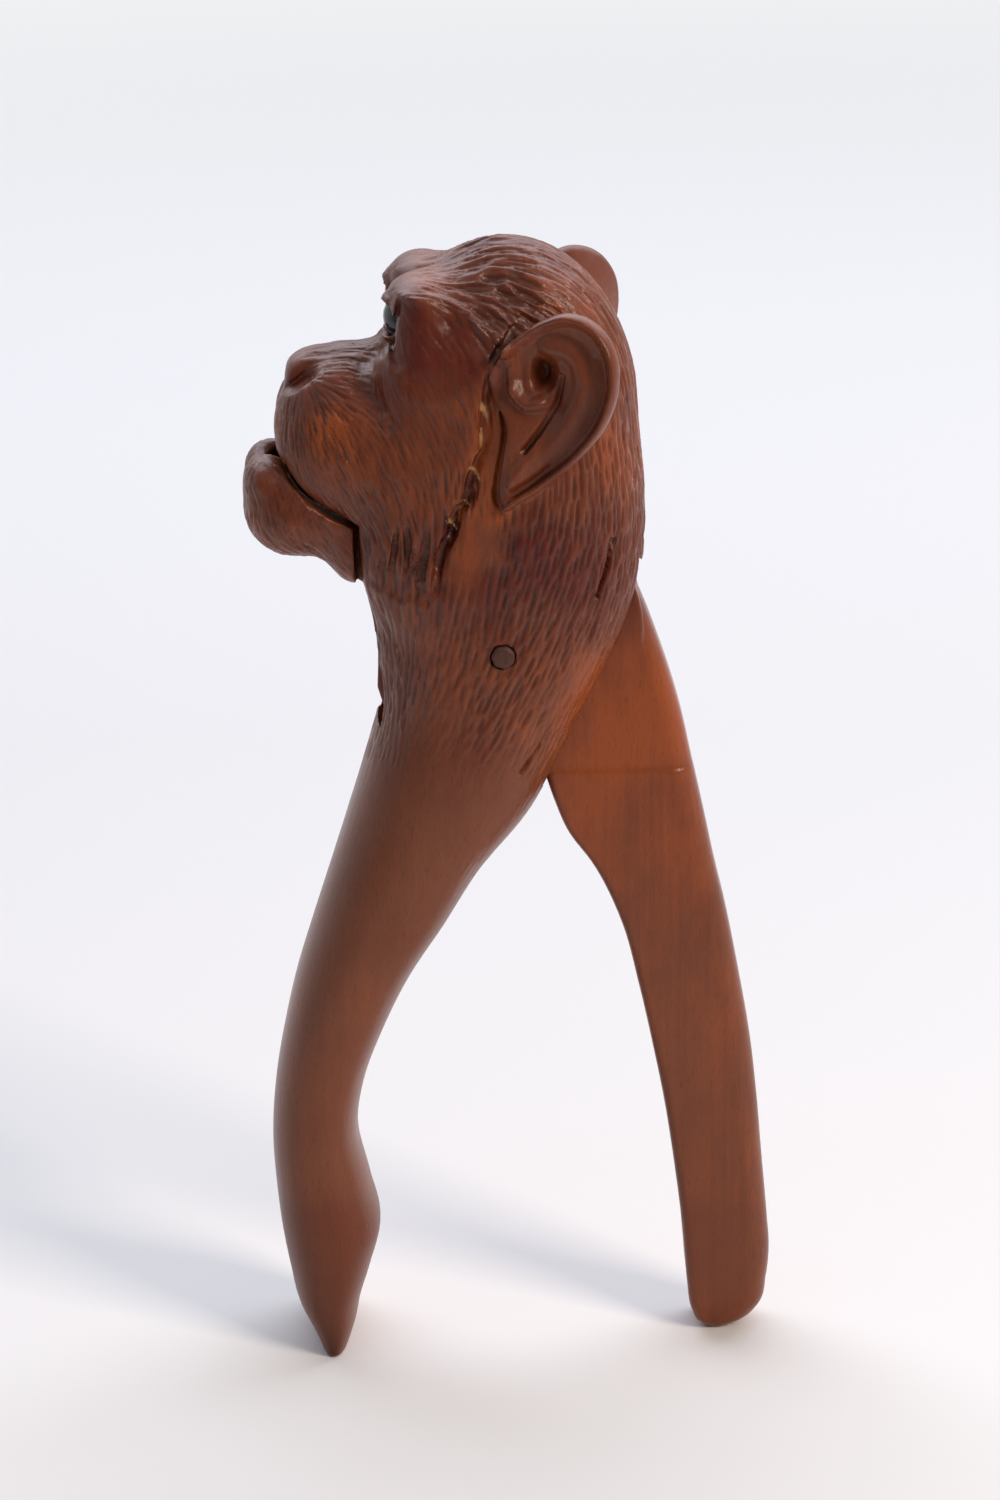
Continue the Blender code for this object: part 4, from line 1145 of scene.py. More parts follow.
@dataclass
class HeadLever(Solid):
    """The head, neck and front handle, carved from one block.

    The shaft's rows hold a height, the front's and the back's x there and the half width. The
    ruff's rows hold a height and the x of its rear edge. Nothing of the head reaches below
    head_above, and nothing of slot and mouth below slot_above.
    """

    low: Place = (-46.0, -30.0, -1.6)
    high: Place = (26.0, 30.0, 202.0)
    pitch: float = 0.32
    triangles: int = 192_000
    shaft: Array = array_of(
        (-2.6, -35.02, -32.48, 11.75), (0.0, -36.08, -31.2, 12.5), (4.0, -37.9, -29.72, 13.25),
        (7.9, -39.9, -28.87, 13.5), (14.6, -41.38, -26.75, 13.5), (21.2, -42.44, -25.06, 13.25),
        (29.1, -43.16, -26.54, 12.5), (39.7, -43.5, -28.49, 12.0), (50.3, -42.48, -26.79, 12.25),
        (59.6, -40.7, -23.23, 12.75), (70.2, -38.07, -17.98, 13.5), (79.4, -35.1, -11.91, 14.25),
        (90.0, -31.54, -5.26, 15.0), (100.0, -28.24, 2.93, 15.75), (109.9, -25.1, 8.44, 16.5),
        (120.5, -22.38, 13.74, 17.0), (129.8, -23.15, 18.62, 17.5), (140.3, -24.21, 22.01, 18.0),
        (149.6, -23.78, 22.43, 18.25), (161.5, -16.79, 20.1, 17.0), (176.1, -5.34, 10.77, 10.5),
    )
    squareness: float = 2.3
    masses: dict[str, Mass] = field(default_factory=lambda: {
        "cranium": Mass(0.1, 0.0, 170.26, 22.2, 20.2, 29.54, 6.0),
        "occiput": Mass(4.6, 0.0, 154.71, 16.2, 18.2, 23.66, 6.0),
        "temple": Mass(-6.8, 8.0, 179.72, 14.1, 10.2, 14.2, 4.8),
        "brow": Mass(-13.7, 7.4, 191.69, 5.28, 7.6, 3.92, 2.8),
        "orbit_rim": Mass(-13.4, 13.0, 186.48, 4.92, 4.2, 7.44, 2.8),
        "cheekbone": Mass(-13.4, 11.6, 178.37, 6.6, 5.6, 7.44, 3.2),
        "cheek": Mass(-14.0, 8.6, 162.82, 15.0, 9.6, 15.55, 4.0),
        "jowl": Mass(-13.1, 9.6, 148.62, 11.4, 8.4, 14.2, 4.0),
        "muzzle": Mass(-25.82, 5.2, 167.21, 12.3, 10.0, 13.86, 3.0),
        "upper_lip": Mass(-29.3, 2.4, 170.26, 8.7, 8.0, 9.13, 2.4),
        "nose_bridge": Mass(-22.1, 0.0, 178.71, 13.8, 4.4, 3.72, 3.2),
        "nose_tip": Mass(-31.82, 2.0, 177.35, 4.2, 3.4, 3.52, 1.6),
    })
    hollows: dict[str, Mass] = field(default_factory=lambda: {
        "eye_hollow": Mass(-21.2, 8.2, 188.17, 4.8, 5.6, 5.95, 1.6),
        "brow_furrow": Mass(-12.5, 0.0, 200.0, 7.8, 2.2, 4.19, 2.0),
        "nostril": Mass(-33.9, 6.9, 178.4, 3.3, 2.2, 1.5, 1.2, tilt=-38.0),
    })
    ruff: Array = array_of(
        (140.9, -13.1), (144.6, -12.6), (149.9, -11.8), (152.6, -10.7), (153.7, -9.8), (157.1, -9.3),
        (158.5, -8.5), (159.6, -7.1), (163.0, -6.6), (164.6, -6.2), (165.9, -5.4), (167.6, -4.9),
        (168.4, -4.2), (172.3, -4.1), (176.5, -3.7), (183.7, -2.7), (193.2, -2.3),
    )
    ruff_step: float = 1.75
    ear_tone: float = -0.1
    slot_end: Pair = (-22.0, 124.0)
    # A border lighter as rubbed wood and as a painted sheen on the smooth strip, with less painted shade
    rubbed_border: Array = array_of(
        (-1.4, 173.6), (-1.9, 167.0), (-2.2, 160.6),
    )
    relief: dict[str, Ledge | Furrow] = field(default_factory=lambda: {
        "brow's rear edge": Ledge((
            (-1.4, 183.6), (-2.1, 184.9), (-3.5, 186.8), (-5.4, 188.8), (-8.3, 190.8), (-11.1, 192.0),
        ), 0.5, 9.0, 1.9, 4.5),
        "orbit's rear edge": Ledge((
            (-16.7, 194.0), (-17.3, 191.3), (-17.9, 188.8), (-18.3, 186.2), (-18.5, 183.1), (-18.0, 180.6),
        ), 0.7, 6.0, 0.7, 2.0),
        "cheekbone's upper edge": Ledge((
            (-17.8, 180.4), (-15.0, 178.4), (-12.1, 177.1), (-8.9, 178.6), (-5.6, 180.6), (-2.8, 182.8),
        ), 0.35, 5.0, 2.0, 3.0),
        "beard's lower edge": Ledge((
            (-24.0, 144.8), (-21.3, 143.7), (-20.5, 144.2), (-19.7, 143.0), (-18.9, 143.4), (-18.3, 142.4),
            (-17.2, 142.2), (-16.0, 142.8), (-15.0, 142.0), (-13.4, 141.7), (-12.4, 143.2), (-12.0, 146.0),
        ), 0.45, 6.5, 1.5, 2.0),
        "gap before the lobe": Furrow((
            (-0.6, 176.4), (0.0, 172.0), (-0.5, 168.3), (-1.2, 164.6), (-1.5, 160.5), (-0.9, 158.2),
        ), 1.0, 0.75),
        "gap above the ear": Furrow((
            (3.6, 190.0), (0.9, 187.2), (-1.4, 184.1), (-2.2, 181.8),
        ), 0.6, 0.8, 3.0),
        "nose crease": Furrow((
            (-38.0, 174.9), (-36.4, 175.7), (-34.9, 176.7), (-33.2, 178.0), (-31.2, 179.3),
        ), 0.95, 0.7, 3.0),
        "cheek fold": Furrow((
            (-20.6, 183.4), (-22.4, 181.0), (-23.3, 179.0), (-22.2, 176.4), (-19.6, 173.1),
        ), 0.6, 3.0),
        "lid fold": Furrow(((-18.9, 184.6), (-20.6, 184.2), (-21.8, 185.0)), 0.4, 1.2),
        "first pocket": Furrow(((-2.4, 176.0), (-2.5, 169.0)), 0.35, 1.5),
        "second pocket": Furrow(((-5.5, 162.6), (-6.2, 159.6)), 0.6, 1.35),
        "third pocket": Furrow(((-8.9, 155.2), (-10.0, 152.6)), 0.6, 1.2),
        "first beard cut": Furrow((
            (-17.9, 157.0), (-18.5, 152.9), (-19.0, 149.6), (-20.0, 144.4),
        ), 0.75, 0.6, 5.0),
        "second beard cut": Furrow((
            (-16.9, 158.0), (-16.5, 153.0), (-16.6, 149.0), (-17.6, 143.2),
        ), 0.85, 0.6, 5.0),
        "third beard cut": Furrow((
            (-14.6, 154.5), (-15.2, 151.2), (-15.8, 148.8), (-16.8, 144.0),
        ), 0.7, 0.55, 5.0),
        "fourth beard cut": Furrow((
            (-12.9, 155.0), (-13.8, 150.5), (-14.4, 147.3), (-15.0, 143.0),
        ), 0.6, 0.6, 5.0),
        "fifth beard cut": Furrow(((-20.3, 152.4), (-20.9, 148.6), (-21.6, 144.8)), 0.5, 0.6, 4.0),
    })
    brow_corner: Ledge = field(default_factory=lambda: Ledge((
        (-1.0, 187.2), (-2.4, 188.5), (-4.5, 190.4), (-7.9, 192.7), (-10.6, 193.6), (-13.5, 193.9),
        (-16.6, 193.9), (-18.6, 193.0),
    ), -1.05, 8.0, 1.2, 4.5, 2.5))
    slivers: dict[str, Chip] = field(default_factory=lambda: {
        "first": Chip(-3.4, 175.3, 3.8, 0.8, -16.0, -0.35),
        "second": Chip(-3.9, 170.4, 3.6, 0.6, 2.0, -0.35),
        "third": Chip(-5.1, 164.6, 3.6, 0.8, -30.0, -0.35),
        "fourth": Chip(-6.7, 159.4, 1.6, 0.5, -50.0, -0.2),
        "fifth": Chip(-9.2, 155.9, 3.6, 0.6, -25.0, -0.35),
    })
    slot_radius: float = 26.5
    slot_width: float = 12.2
    palate: Mass = Mass(-33.3, 0.0, 159.6, 8.5, 8.5, 6.5, 0.0)
    peg_hole: float = 2.03
    head_above: float = 125.0
    slot_above: float = 61.0

    def __post_init__(self) -> None:
        """Work out the charts that the distance reads."""
        self.sockets = [Socket(side) for side in Side]
        self.heights = np.arange(-3.0, 177.0, 0.5)
        self.profile = column_curves(self.heights, self.shaft)
        low, high, pitch = (-70.0, 60.0), (80.0, 203.0), 0.25
        x, z = Chart.lattice(low, high, pitch)
        jaw_space = outline_distance(x, z, jaw_outline(0.0, 0.0))
        slot = outline_distance(x, z, slot_outline(self.slot_radius))
        self.cuts = Chart.layered(low, pitch, jaw_space, slot)
        low, high, pitch = (-46.0, 124.0), (26.0, 203.0), 0.2
        self.let_in = Chart(low, pitch, self.relief_total(*Chart.lattice(low, high, pitch)))

    def relief_total(self, x: Array, z: Array) -> Array:
        """How far the skin is let in: the deepest ledge, the ruff, the deepest groove and what is raised.

        Args:
            x: The places' x in the side view.
            z: Their z.

        Returns:
            The depth at each place, negative where the skin stands out.
        """
        steps = [shape.relief(x, z) for shape in self.relief.values() if isinstance(shape, Ledge)]
        cuts = [shape.relief(x, z) for shape in self.relief.values() if isinstance(shape, Furrow)]
        raised = [shape.relief(x, z) for shape in self.slivers.values()]
        total = np.maximum.reduce(steps) + self.ruff_relief(x, z) + np.maximum.reduce(cuts)
        total = total + np.minimum.reduce(raised)
        total += self.brow_corner.relief(x, z)
        return total.astype(np.float32)

    def shaft_distance(self, x: Array, y: Array, z: Array) -> Array:
        """How far places lie outside the shaft, whose sections are rounded squares: (a^p + b^p)^(1/p).

        Args:
            x: The places' way backward.
            y: Their way aside.
            z: Their height.

        Returns:
            Distances.
        """
        height = np.clip(z, self.shaft[0, 0], self.shaft[-1, 0])
        front, back, half_width = (np.interp(height, self.heights, line) for line in self.profile)
        half_depth = (back - front) * HALF
        ahead = np.abs((x - (front + back) * HALF) / half_depth)
        aside = y / half_width
        power = self.squareness
        near = (ahead**power + aside**power) ** (1.0 / power)
        around = (near - 1.0) * np.minimum(half_depth, half_width)
        beyond = np.maximum(z - self.shaft[-1, 0], -z)
        return smooth_greatest(around, beyond, 0.5)

    def ruff_relief(self, x: Array, z: Array) -> Array:
        """How far the neck is let in behind the ruff's notched edge."""
        behind = x - np.interp(z, self.ruff[:, 0], self.ruff[:, 1])
        fade = ease(z, 142.0, 149.0) * (1.0 - ease(z, 178.0, 183.0))
        deep = 1.0 - 0.5 * ease(behind, 0.3, 2.6)
        return self.ruff_step * fade * deep * ease(behind, -0.25, 0.25) * (1.0 - ease(behind, 4.5, 16.0))

    def ruff_foot_painted_shadow(self, points: Array) -> Array:
        """How near each point lies to the foot of the ruff's step, where the step's shadow is painted dark.
        """
        x, z = points[:, 0], points[:, 2]
        behind = x - np.interp(z, self.ruff[:, 0], self.ruff[:, 1])
        fade = ease(z, 146.0, 150.0) * (1.0 - ease(z, 176.0, 181.0))
        return fade * bump(behind - 0.35, 0.85) * (np.abs(points[:, 1]) > 9.0)

    def sliver_glints(self, points: Array) -> Array:
        """Where the slivers along the ruff are paler: painted glints on their facets, in a bare wood colour.
        """
        x, z = points[:, 0], points[:, 2]
        shares = [shape.relief(x, z) / shape.depth for shape in self.slivers.values()]
        return np.clip(np.maximum.reduce(shares) * 2.2, 0.0, 1.0) * (points[:, 1] < -9.0)

    def distance(self, places: Array) -> Array:
        """How far places lie outside the carved head, neck and handle."""
        x, y, z = places[:, 0], np.abs(places[:, 1]), places[:, 2]
        found = self.shaft_distance(x, y, z)
        upper = z > self.head_above
        if upper.any():
            found[upper] = self.head_distance(places[upper], found[upper])
        cut, slot = self.cuts.at(x, z).T
        low = z < self.slot_above
        cut, slot = np.where(low, FAR, cut), np.where(low, FAR, slot)
        found = smooth_greatest(found, -cut, 0.5)
        found = smooth_greatest(found, -np.maximum(slot, y - self.slot_width * HALF), 0.35)
        hole = np.hypot(x - PIVOT_X, z - PIVOT_Z) - self.peg_hole
        return smooth_greatest(found, -hole, 0.3)

    def head_distance(self, places: Array, found: Array) -> Array:
        """The shaft's distance joined with every mass and ear and cut by every hollow.

        Args:
            places: Rows of x, y and z.
            found: The shaft's distance there.

        Returns:
            The head's distance.
        """
        x, y, z = places[:, 0], np.abs(places[:, 1]), places[:, 2]
        for mass in self.masses.values():
            found = smooth_least(found, mass.distance(x, y, z), mass.blend)
        for hollow in self.hollows.values():
            found = smooth_greatest(found, -hollow.distance(x, y, z), hollow.blend)
        found = found + self.let_in.at(x, z) * ease(y, 2.0, 6.0)
        for socket in self.sockets:
            near = (socket.side.value * places[:, 1] > -2.0) & (x < -8.0) & (z > 178.0)
            if near.any():
                found[near] = self.socketed(places[near], found[near], socket)
        for ear in EARS:
            near = (ear.side.value * places[:, 1] > 10.0) & (x > -8.0) & (z > 154.0)
            if near.any():
                found[near] = smooth_least(found[near], ear.distance(places[near]), 0.7)
        return smooth_greatest(found, -self.palate.distance(x, y, z), 0.5)

    def socketed(self, places: Array, found: Array, socket: Socket) -> Array:
        """Lids laid round the eye's ball, then the ball and the slit between the lids taken out.

        Args:
            places: Rows of x, y and z near the eye.
            found: The head's distance there.
            socket: The eye's place.

        Returns:
            The distance with the eye's socket in it.
        """
        along, across, above = socket.parts(places)
        inward = along - (socket.dome - socket.ball)
        radial = np.sqrt(inward**2 + across**2 + above**2)
        found = smooth_least(found, radial - socket.ball - socket.lid_room - socket.lid, 0.9)
        half_long, half_high = socket.slit
        slit = np.hypot(across / half_long, np.maximum(np.abs(above) - 0.2, 0.0) / half_high) - 1.0
        slit = np.maximum(slit * 2.6, -along)
        found = smooth_greatest(found, -slit, 0.4)
        return smooth_greatest(found, -(radial - socket.ball - socket.seat_room), 0.2)

    def marks(self, points: Array, outward: Array, groove: Array) -> dict[str, Array]:
        """What the material has to know of each point.

        The border that hands have rubbed is lighter, partly as a painted sheen, and gets less painted shade,
        as does the slot's end at the front of the neck. The pockets behind the ruff are darker as painted
        shade.

        Args:
            points: Rows of x, y and z, before any hair was cut.
            outward: The skin's outward direction at each point.
            groove: How much of a groove each point lies in.

        Returns:
            Groove with the ruff's painted shadow, wear with a painted sheen, hollowness as painted shade,
            tone with painted light and shade, and the slivers' painted glints, by name.
        """
        x, z = points[:, 0], points[:, 2]
        border = line_distance(x, z, self.rubbed_border)
        # Painted shade from how shut in each point is, less of it on the rubbed border and at the slot's end
        hollow = hollowness(self, points, outward)
        hollow *= 1.0 - 0.8 * bump(border, 3.2)
        hollow *= ease(np.hypot(x - self.slot_end[0], z - self.slot_end[1]), 3.0, 6.0)
        pockets = [np.array(self.relief[f"{which} pocket"].places) for which in ("second", "third")]
        inside = np.minimum.reduce([line_distance(x, z, line) for line in pockets])
        # Tone with a painted sheen on the rubbed border and painted shade in the pockets behind the ruff
        tone = tone_and_painted_light(points) + 0.9 * bump(border, 2.1) - 1.1 * bump(inside, 2.2)
        tone += (self.ear_tone - tone) * on_ears(points)
        return {
            # The grooves together with the ruff's painted shadow, both darkened as painted shade
            "groove": np.maximum(groove, self.ruff_foot_painted_shadow(points)),
            "wear_and_sheen": 1.0 - ease(z, 100.0, 132.0),
            "hollow": hollow,
            "tone": tone,
            "sliver_glint": self.sliver_glints(points),
        }

    def build(self) -> Piece:
        """The carved head with its handle."""
        return self.carved("head_carving", HeadCoat(HEAD_HAIR), HEAD_LINES)


def column_curves(heights: Array, table: Array) -> Array:
    """Each column of a table on a smooth curve through its rows: a cubic between each two.

    Args:
        heights: Where the columns are wanted.
        table: Rows of height and the columns' values there.

    Returns:
        A row of values for each column.
    """
    level = table[:, 0]
    spot = np.clip(np.searchsorted(level, heights) - 1, 0, len(level) - 2)
    gap = level[spot + 1] - level[spot]
    part = np.clip((heights - level[spot]) / gap, 0.0, 1.0)
    weight = ease(part, 0.0, 1.0)
    columns = []
    for value in table[:, 1:].T:
        slope = np.gradient(value, level)
        columns.append(
            value[spot] * (1.0 - weight)
            + value[spot + 1] * weight
            + gap * part * (1.0 - part) ** 2 * slope[spot]
            - gap * part**2 * (1.0 - part) * slope[spot + 1]
        )
    return np.array(columns)


def jaw_outline(gap_behind: float, gap_above: float) -> Array:
    """The region ahead of the neck and below the lip line, a parabola through its three points.

    Args:
        gap_behind: How far the region is drawn in at the neck.
        gap_above: How far it is drawn in below the lips.

    Returns:
        Rows of the outline's corners.
    """
    corner, belly, upper, far = LIP_LINE
    part = np.linspace(0.0, 1.0, 14)[:, None]
    curve = corner * (1 - part) ** 2 + belly * 2 * part * (1 - part) + upper * part**2
    curve = np.concatenate([curve, far[None]]) - np.array([gap_behind * HALF, gap_above])
    curve[0, 0] = corner[0] - gap_behind
    return np.concatenate([curve, [(curve[-1, 0], PIVOT_Z), (curve[0, 0], PIVOT_Z)]])


def arc(radius: float, start: float, end: float, count: int) -> Array:
    """Points along an arc about the pivot, between two angles in degrees."""
    turn = np.radians(np.linspace(start, end, count))
    return np.stack([PIVOT_X + radius * np.cos(turn), PIVOT_Z + radius * np.sin(turn)], axis=-1)


def slot_outline(radius: float) -> Array:
    """The saw slot: a disc about the pivot, open behind the fork and below the palate."""
    upper, lower = arc(radius, 90, 0, 30), arc(radius, -80, -160, 30)
    low = PIVOT_Z - radius
    fork = np.array([(76.0, PIVOT_Z), (76.0, low - 10.0), (8.0, low - 10.0), (4.9, low)])
    ahead = np.array([(-61.1, lower[-1, 1]), (-61.1, PIVOT_Z + radius)])
    return np.concatenate([upper, fork, lower, ahead])


def hollowness(solid: Solid, points: Array, outward: Array) -> Array:
    """How shut in each point is, which paints shade into the colour: one less what the way out gains over
    the length gone.

    Args:
        solid: The form.
        points: Rows of x, y and z on its skin.
        outward: The skin's outward direction at each point.

    Returns:
        From nought in the open to one deep inside, and nought round the peg's ends.
    """
    total = np.zeros(len(points), np.float32)
    reaches = (1.2, 3.0)
    for reach in reaches:
        gained = solid.told((points + outward * np.float32(reach)).astype(np.float32)) / reach
        total += np.clip(1.0 - gained, 0.0, 1.0)
    away = np.hypot(points[:, 0] - PIVOT_X, points[:, 2] - PIVOT_Z)
    beside_peg = (away > 2.05) & (np.abs(points[:, 1]) > 10.0)
    return total / len(reaches) * np.where(beside_peg, ease(away, 2.2, 4.0), 1.0)


class HeadCoat(Coat):
    """The head's hair, which keeps off the ears, the lids and the inside of the slot."""

    def allowed(self, skin: Skin) -> Array:
        """Nought on the ears' plates, between the cheeks of the slot and in the sockets."""
        x, y, z = skin.points[:, 0], np.abs(skin.points[:, 1]), skin.points[:, 2]
        free = ease(y, 6.4, 7.2)
        facing = (skin.outward[:, 1] * np.sign(skin.points[:, 1])) > -0.2
        in_slot = (np.hypot(x - PIVOT_X, z - PIVOT_Z) < 27.0) & (y < 6.6)
        keep = np.where(in_slot, free, 1.0) * facing
        return (keep * (1.0 - on_ears(skin.points))).astype(np.float32)


@dataclass(frozen=True)
class Line:
    """A line worked along the side view: a groove if its height is negative, a ridge if not."""

    places: Path
    width: float
    height: float
    sides: tuple[int, ...] = (-1, 1)


HEAD_LINES = (
    Line(((17.6, 151.4), (16.6, 147.6), (15.9, 145.0), (14.7, 141.4)), 0.45, -1.6, (-1,)),
    Line(((4.8, 115.4), (3.2, 113.0), (1.3, 110.3)), 0.4, -0.9, (-1,)),
    Line(((22.0, 162.7), (21.4, 159.9)), 0.4, -0.9, (-1,)),
)


def work_lines(skin: Skin, lines: tuple[Line, ...]) -> None:
    """Move the skin's points in or out beside each line, where the skin faces sideways.

    Args:
        skin: The skin, whose points move.
        lines: The lines to work.
    """
    sideways = np.clip(np.abs(skin.outward[:, 1]) * 1.6, 0.0, 1.0)
    for line in lines:
        path = smooth_line(np.array(line.places), 24)
        rise = line.height * bump(line_distance(skin.points[:, 0], skin.points[:, 2], path), line.width)
        taken = np.isin(np.sign(skin.points[:, 1]), line.sides) * (np.abs(skin.points[:, 1]) > 8.0)
        skin.points += skin.outward * (rise * sideways * taken)[:, None].astype(np.float32)


@dataclass
class JawLever(Solid):
    """The lower jaw, the tongue in the neck's slot and the rear handle, from one plank.

    The handle's rows hold a height, the front's and the back's x there and the half width.
    """

    low: Place = (-47.0, -15.0, -1.6)
    high: Place = (46.6, 15.0, 169.0)
    pitch: float = 0.42
    triangles: int = 110_000
    masses: dict[str, Mass] = field(default_factory=lambda: {
        "chin": Mass(-35.8, 2.5, 155.03, 8.4, 9.0, 8.4, 5.0),
        "front_lip": Mass(-39.89, 3.75, 160.6, 3.88, 6.6, 3.9, 3.0),
        "jaw_side": Mass(-28.68, 5.0, 156.11, 11.21, 7.5, 8.4, 3.75),
        "jaw_root": Mass(-25.24, 4.5, 148.78, 5.17, 7.5, 6.68, 3.75),
    })
    lip_gap: float = 0.7
    neck_gap: float = 0.8
    cup: Mass = Mass(-33.3, 0.0, 158.9, 8.5, 8.5, 6.0, 0.0)
    lip_trough: Mass = Mass(-37.6, 0.0, 166.6, 5.0, 5.0, 4.0, 0.0)
    tongue_width: float = 11.0
    tongue_radius: float = 23.8
    peg_hole: float = 2.2
    handle: Array = array_of(
        (-2.0, 34.0, 36.9, 3.2), (0.0, 33.1, 37.63, 3.94), (1.3, 31.52, 39.9, 4.87),
        (4.0, 30.25, 42.39, 5.57), (9.3, 29.48, 43.66, 5.8), (15.2, 29.02, 44.2, 5.8),
        (21.2, 28.57, 43.84, 5.8), (33.1, 27.26, 42.89, 5.8), (45.0, 25.63, 41.98, 5.8),
        (56.3, 23.59, 40.8, 5.8), (67.5, 21.32, 38.99, 5.8), (79.4, 18.38, 36.82, 5.8),
        (90.4, 13.4, 34.42, 5.8), (96.0, 9.55, 33.33, 5.8), (101.6, 7.28, 32.2, 5.8),
        (107.3, 5.6, 31.0, 5.8), (117.8, 4.34, 28.8, 5.8), (129.0, 7.96, 25.49, 5.8),
        (139.2, 12.49, 21.69, 5.8), (141.5, 13.4, 20.64, 5.8),
    )
    shoulder: float = 107.3
    rear_round: float = 4.0
    front_round: float = 1.6
    tongue_above: float = 101.0
    jaw_above: float = 135.0
    jaw_ahead: float = -12.0

    def __post_init__(self) -> None:
        """Work out the charts that the distance reads."""
        low, high, pitch = (-70.0, 100.0), (80.0, 203.0), 0.25
        x, z = Chart.lattice(low, high, pitch)
        self.heights = np.arange(-2.0, 142.0, 0.5)
        self.profile = column_curves(self.heights, self.handle)
        space = outline_distance(x, z, jaw_outline(self.neck_gap, self.lip_gap))
        tongue = outline_distance(x, z, self.tongue_outline())
        self.trims = Chart.layered(low, pitch, space, tongue)

    def tongue_outline(self) -> Array:
        """The knuckle about the pivot, its front hollowed for the throat, and the jaw's root."""
        corner = LIP_LINE[0]
        knuckle = arc(self.tongue_radius, 100, -150, 36)
        root_x = corner[0] - self.neck_gap - 3.0
        heights = np.linspace(-9.0, 8.0, 6)
        throat = np.stack([-22.2 - 0.004 * heights**2, PIVOT_Z + heights], axis=-1)
        root = np.array([(root_x, corner[1] - 9.0), (root_x, corner[1] - 1.5)])
        return np.concatenate([knuckle, throat, root])

    def distance(self, places: Array) -> Array:
        """How far places lie outside the jaw, tongue and rear handle."""
        x, y, z = places[:, 0], np.abs(places[:, 1]), places[:, 2]
        space, tongue = self.trims.at(x, z).T
        below = z < self.tongue_above
        space, tongue = np.where(below, FAR, space), np.where(below, FAR, tongue)
        jaw = np.full(len(places), FAR, np.float32)
        ahead = (x < self.jaw_ahead) & (z > self.jaw_above)
        if ahead.any():
            jaw[ahead] = self.jaw_distance(x[ahead], y[ahead], z[ahead], space[ahead])
        found = self.handle_distance(x, y, z)
        plate = smooth_greatest(tongue, y - self.tongue_width * HALF, 0.5)
        found = np.minimum(found, plate)
        found = smooth_least(found, jaw, 0.3)
        found = smooth_greatest(found, -self.cup.distance(x, y, z), 0.5)
        found = smooth_greatest(found, -self.lip_trough.distance(x, y, z), 0.8)
        hole = np.hypot(x - PIVOT_X, z - PIVOT_Z) - self.peg_hole
        return smooth_greatest(found, -hole, 0.2)

    def jaw_distance(self, x: Array, y: Array, z: Array, space: Array) -> Array:
        """The jaw's masses joined, then trimmed to its space.

        Args:
            x: The places' way backward.
            y: Their way aside.
            z: Their height.
            space: How far they lie outside the jaw's space.

        Returns:
            Distances.
        """
        found = np.full(len(x), FAR, np.float32)
        for mass in self.masses.values():
            found = smooth_least(found, mass.distance(x, y, z), mass.blend)
        return smooth_greatest(found, space, 0.5)

    def handle_distance(self, x: Array, y: Array, z: Array) -> Array:
        """How far places lie outside the flat-sided handle with its rounded front and rear.

        Each section is a box whose two pairs of corners are rounded, and above the shoulder it is
        thinner and its front corners are sharp, so that it passes into the tongue.

        Args:
            x: The places' way backward.
            y: Their way aside.
            z: Their height.

        Returns:
            Distances.
        """
        front, back, half_width = (np.interp(z, self.heights, line) for line in self.profile)
        upper = ease(z, self.shoulder - 0.2, self.shoulder + 0.2)
        half_width = half_width - (half_width - self.tongue_width * HALF) * upper

        def corner(beyond: Array, radius: Array) -> Array:
            """The distance from a section's end whose corners are rounded."""
            across, along = y - half_width + radius, beyond + radius
            outer = np.hypot(np.maximum(across, 0.0), np.maximum(along, 0.0))
            return outer + np.minimum(np.maximum(across, along), 0.0) - radius

        rear = np.minimum(self.rear_round, half_width)
        fore = np.minimum(self.front_round * (1.0 - 0.75 * upper), half_width)
        middle = (front + back) * HALF
        around = np.where(x > middle, corner(x - back, rear), corner(front - x, fore))
        return smooth_greatest(around, np.maximum(-z, z - self.handle[-1, 0]), 0.5)

    def marks(self, points: Array, outward: Array, groove: Array) -> dict[str, Array]:
        """Groove, wear with a painted sheen, hollowness as painted shade and tone with painted light and
        shade, the wear growing down the handle.
        """
        wear_and_sheen = 0.6 * (1.0 - ease(points[:, 2], 60.0, 110.0))
        hollow = hollowness(self, points, outward)
        return {"groove": groove, "wear_and_sheen": wear_and_sheen, "hollow": hollow, "tone": tone_and_painted_light(points)}

    def build(self) -> Piece:
        """The carved jaw with its tongue and handle."""
        return self.carved("jaw_carving", JawCoat(JAW_HAIR, seed=9))


class JawCoat(Coat):
    """The jaw's strokes, which stay on its outside."""

    def allowed(self, skin: Skin) -> Array:
        """One on the jaw's outer sides, nought in the cup and on the tongue and handle."""
        mouth, root_x = np.array([-33.0, 0.0, 160.0], np.float32), -20.0
        away = skin.points - mouth
        away /= np.maximum(np.linalg.norm(away, axis=1, keepdims=True), TINY)
        outer = ease((away * skin.outward).sum(axis=1), 0.0, 0.4)
        return (outer * (skin.points[:, 0] < root_x)).astype(np.float32)


# The peg and the eyes

# How many points go round a turned piece, and the painted disc's radius and how deep it lies
ROUND = 48
DISC_RADIUS = 3.7
DISC_DEPTH = 0.9


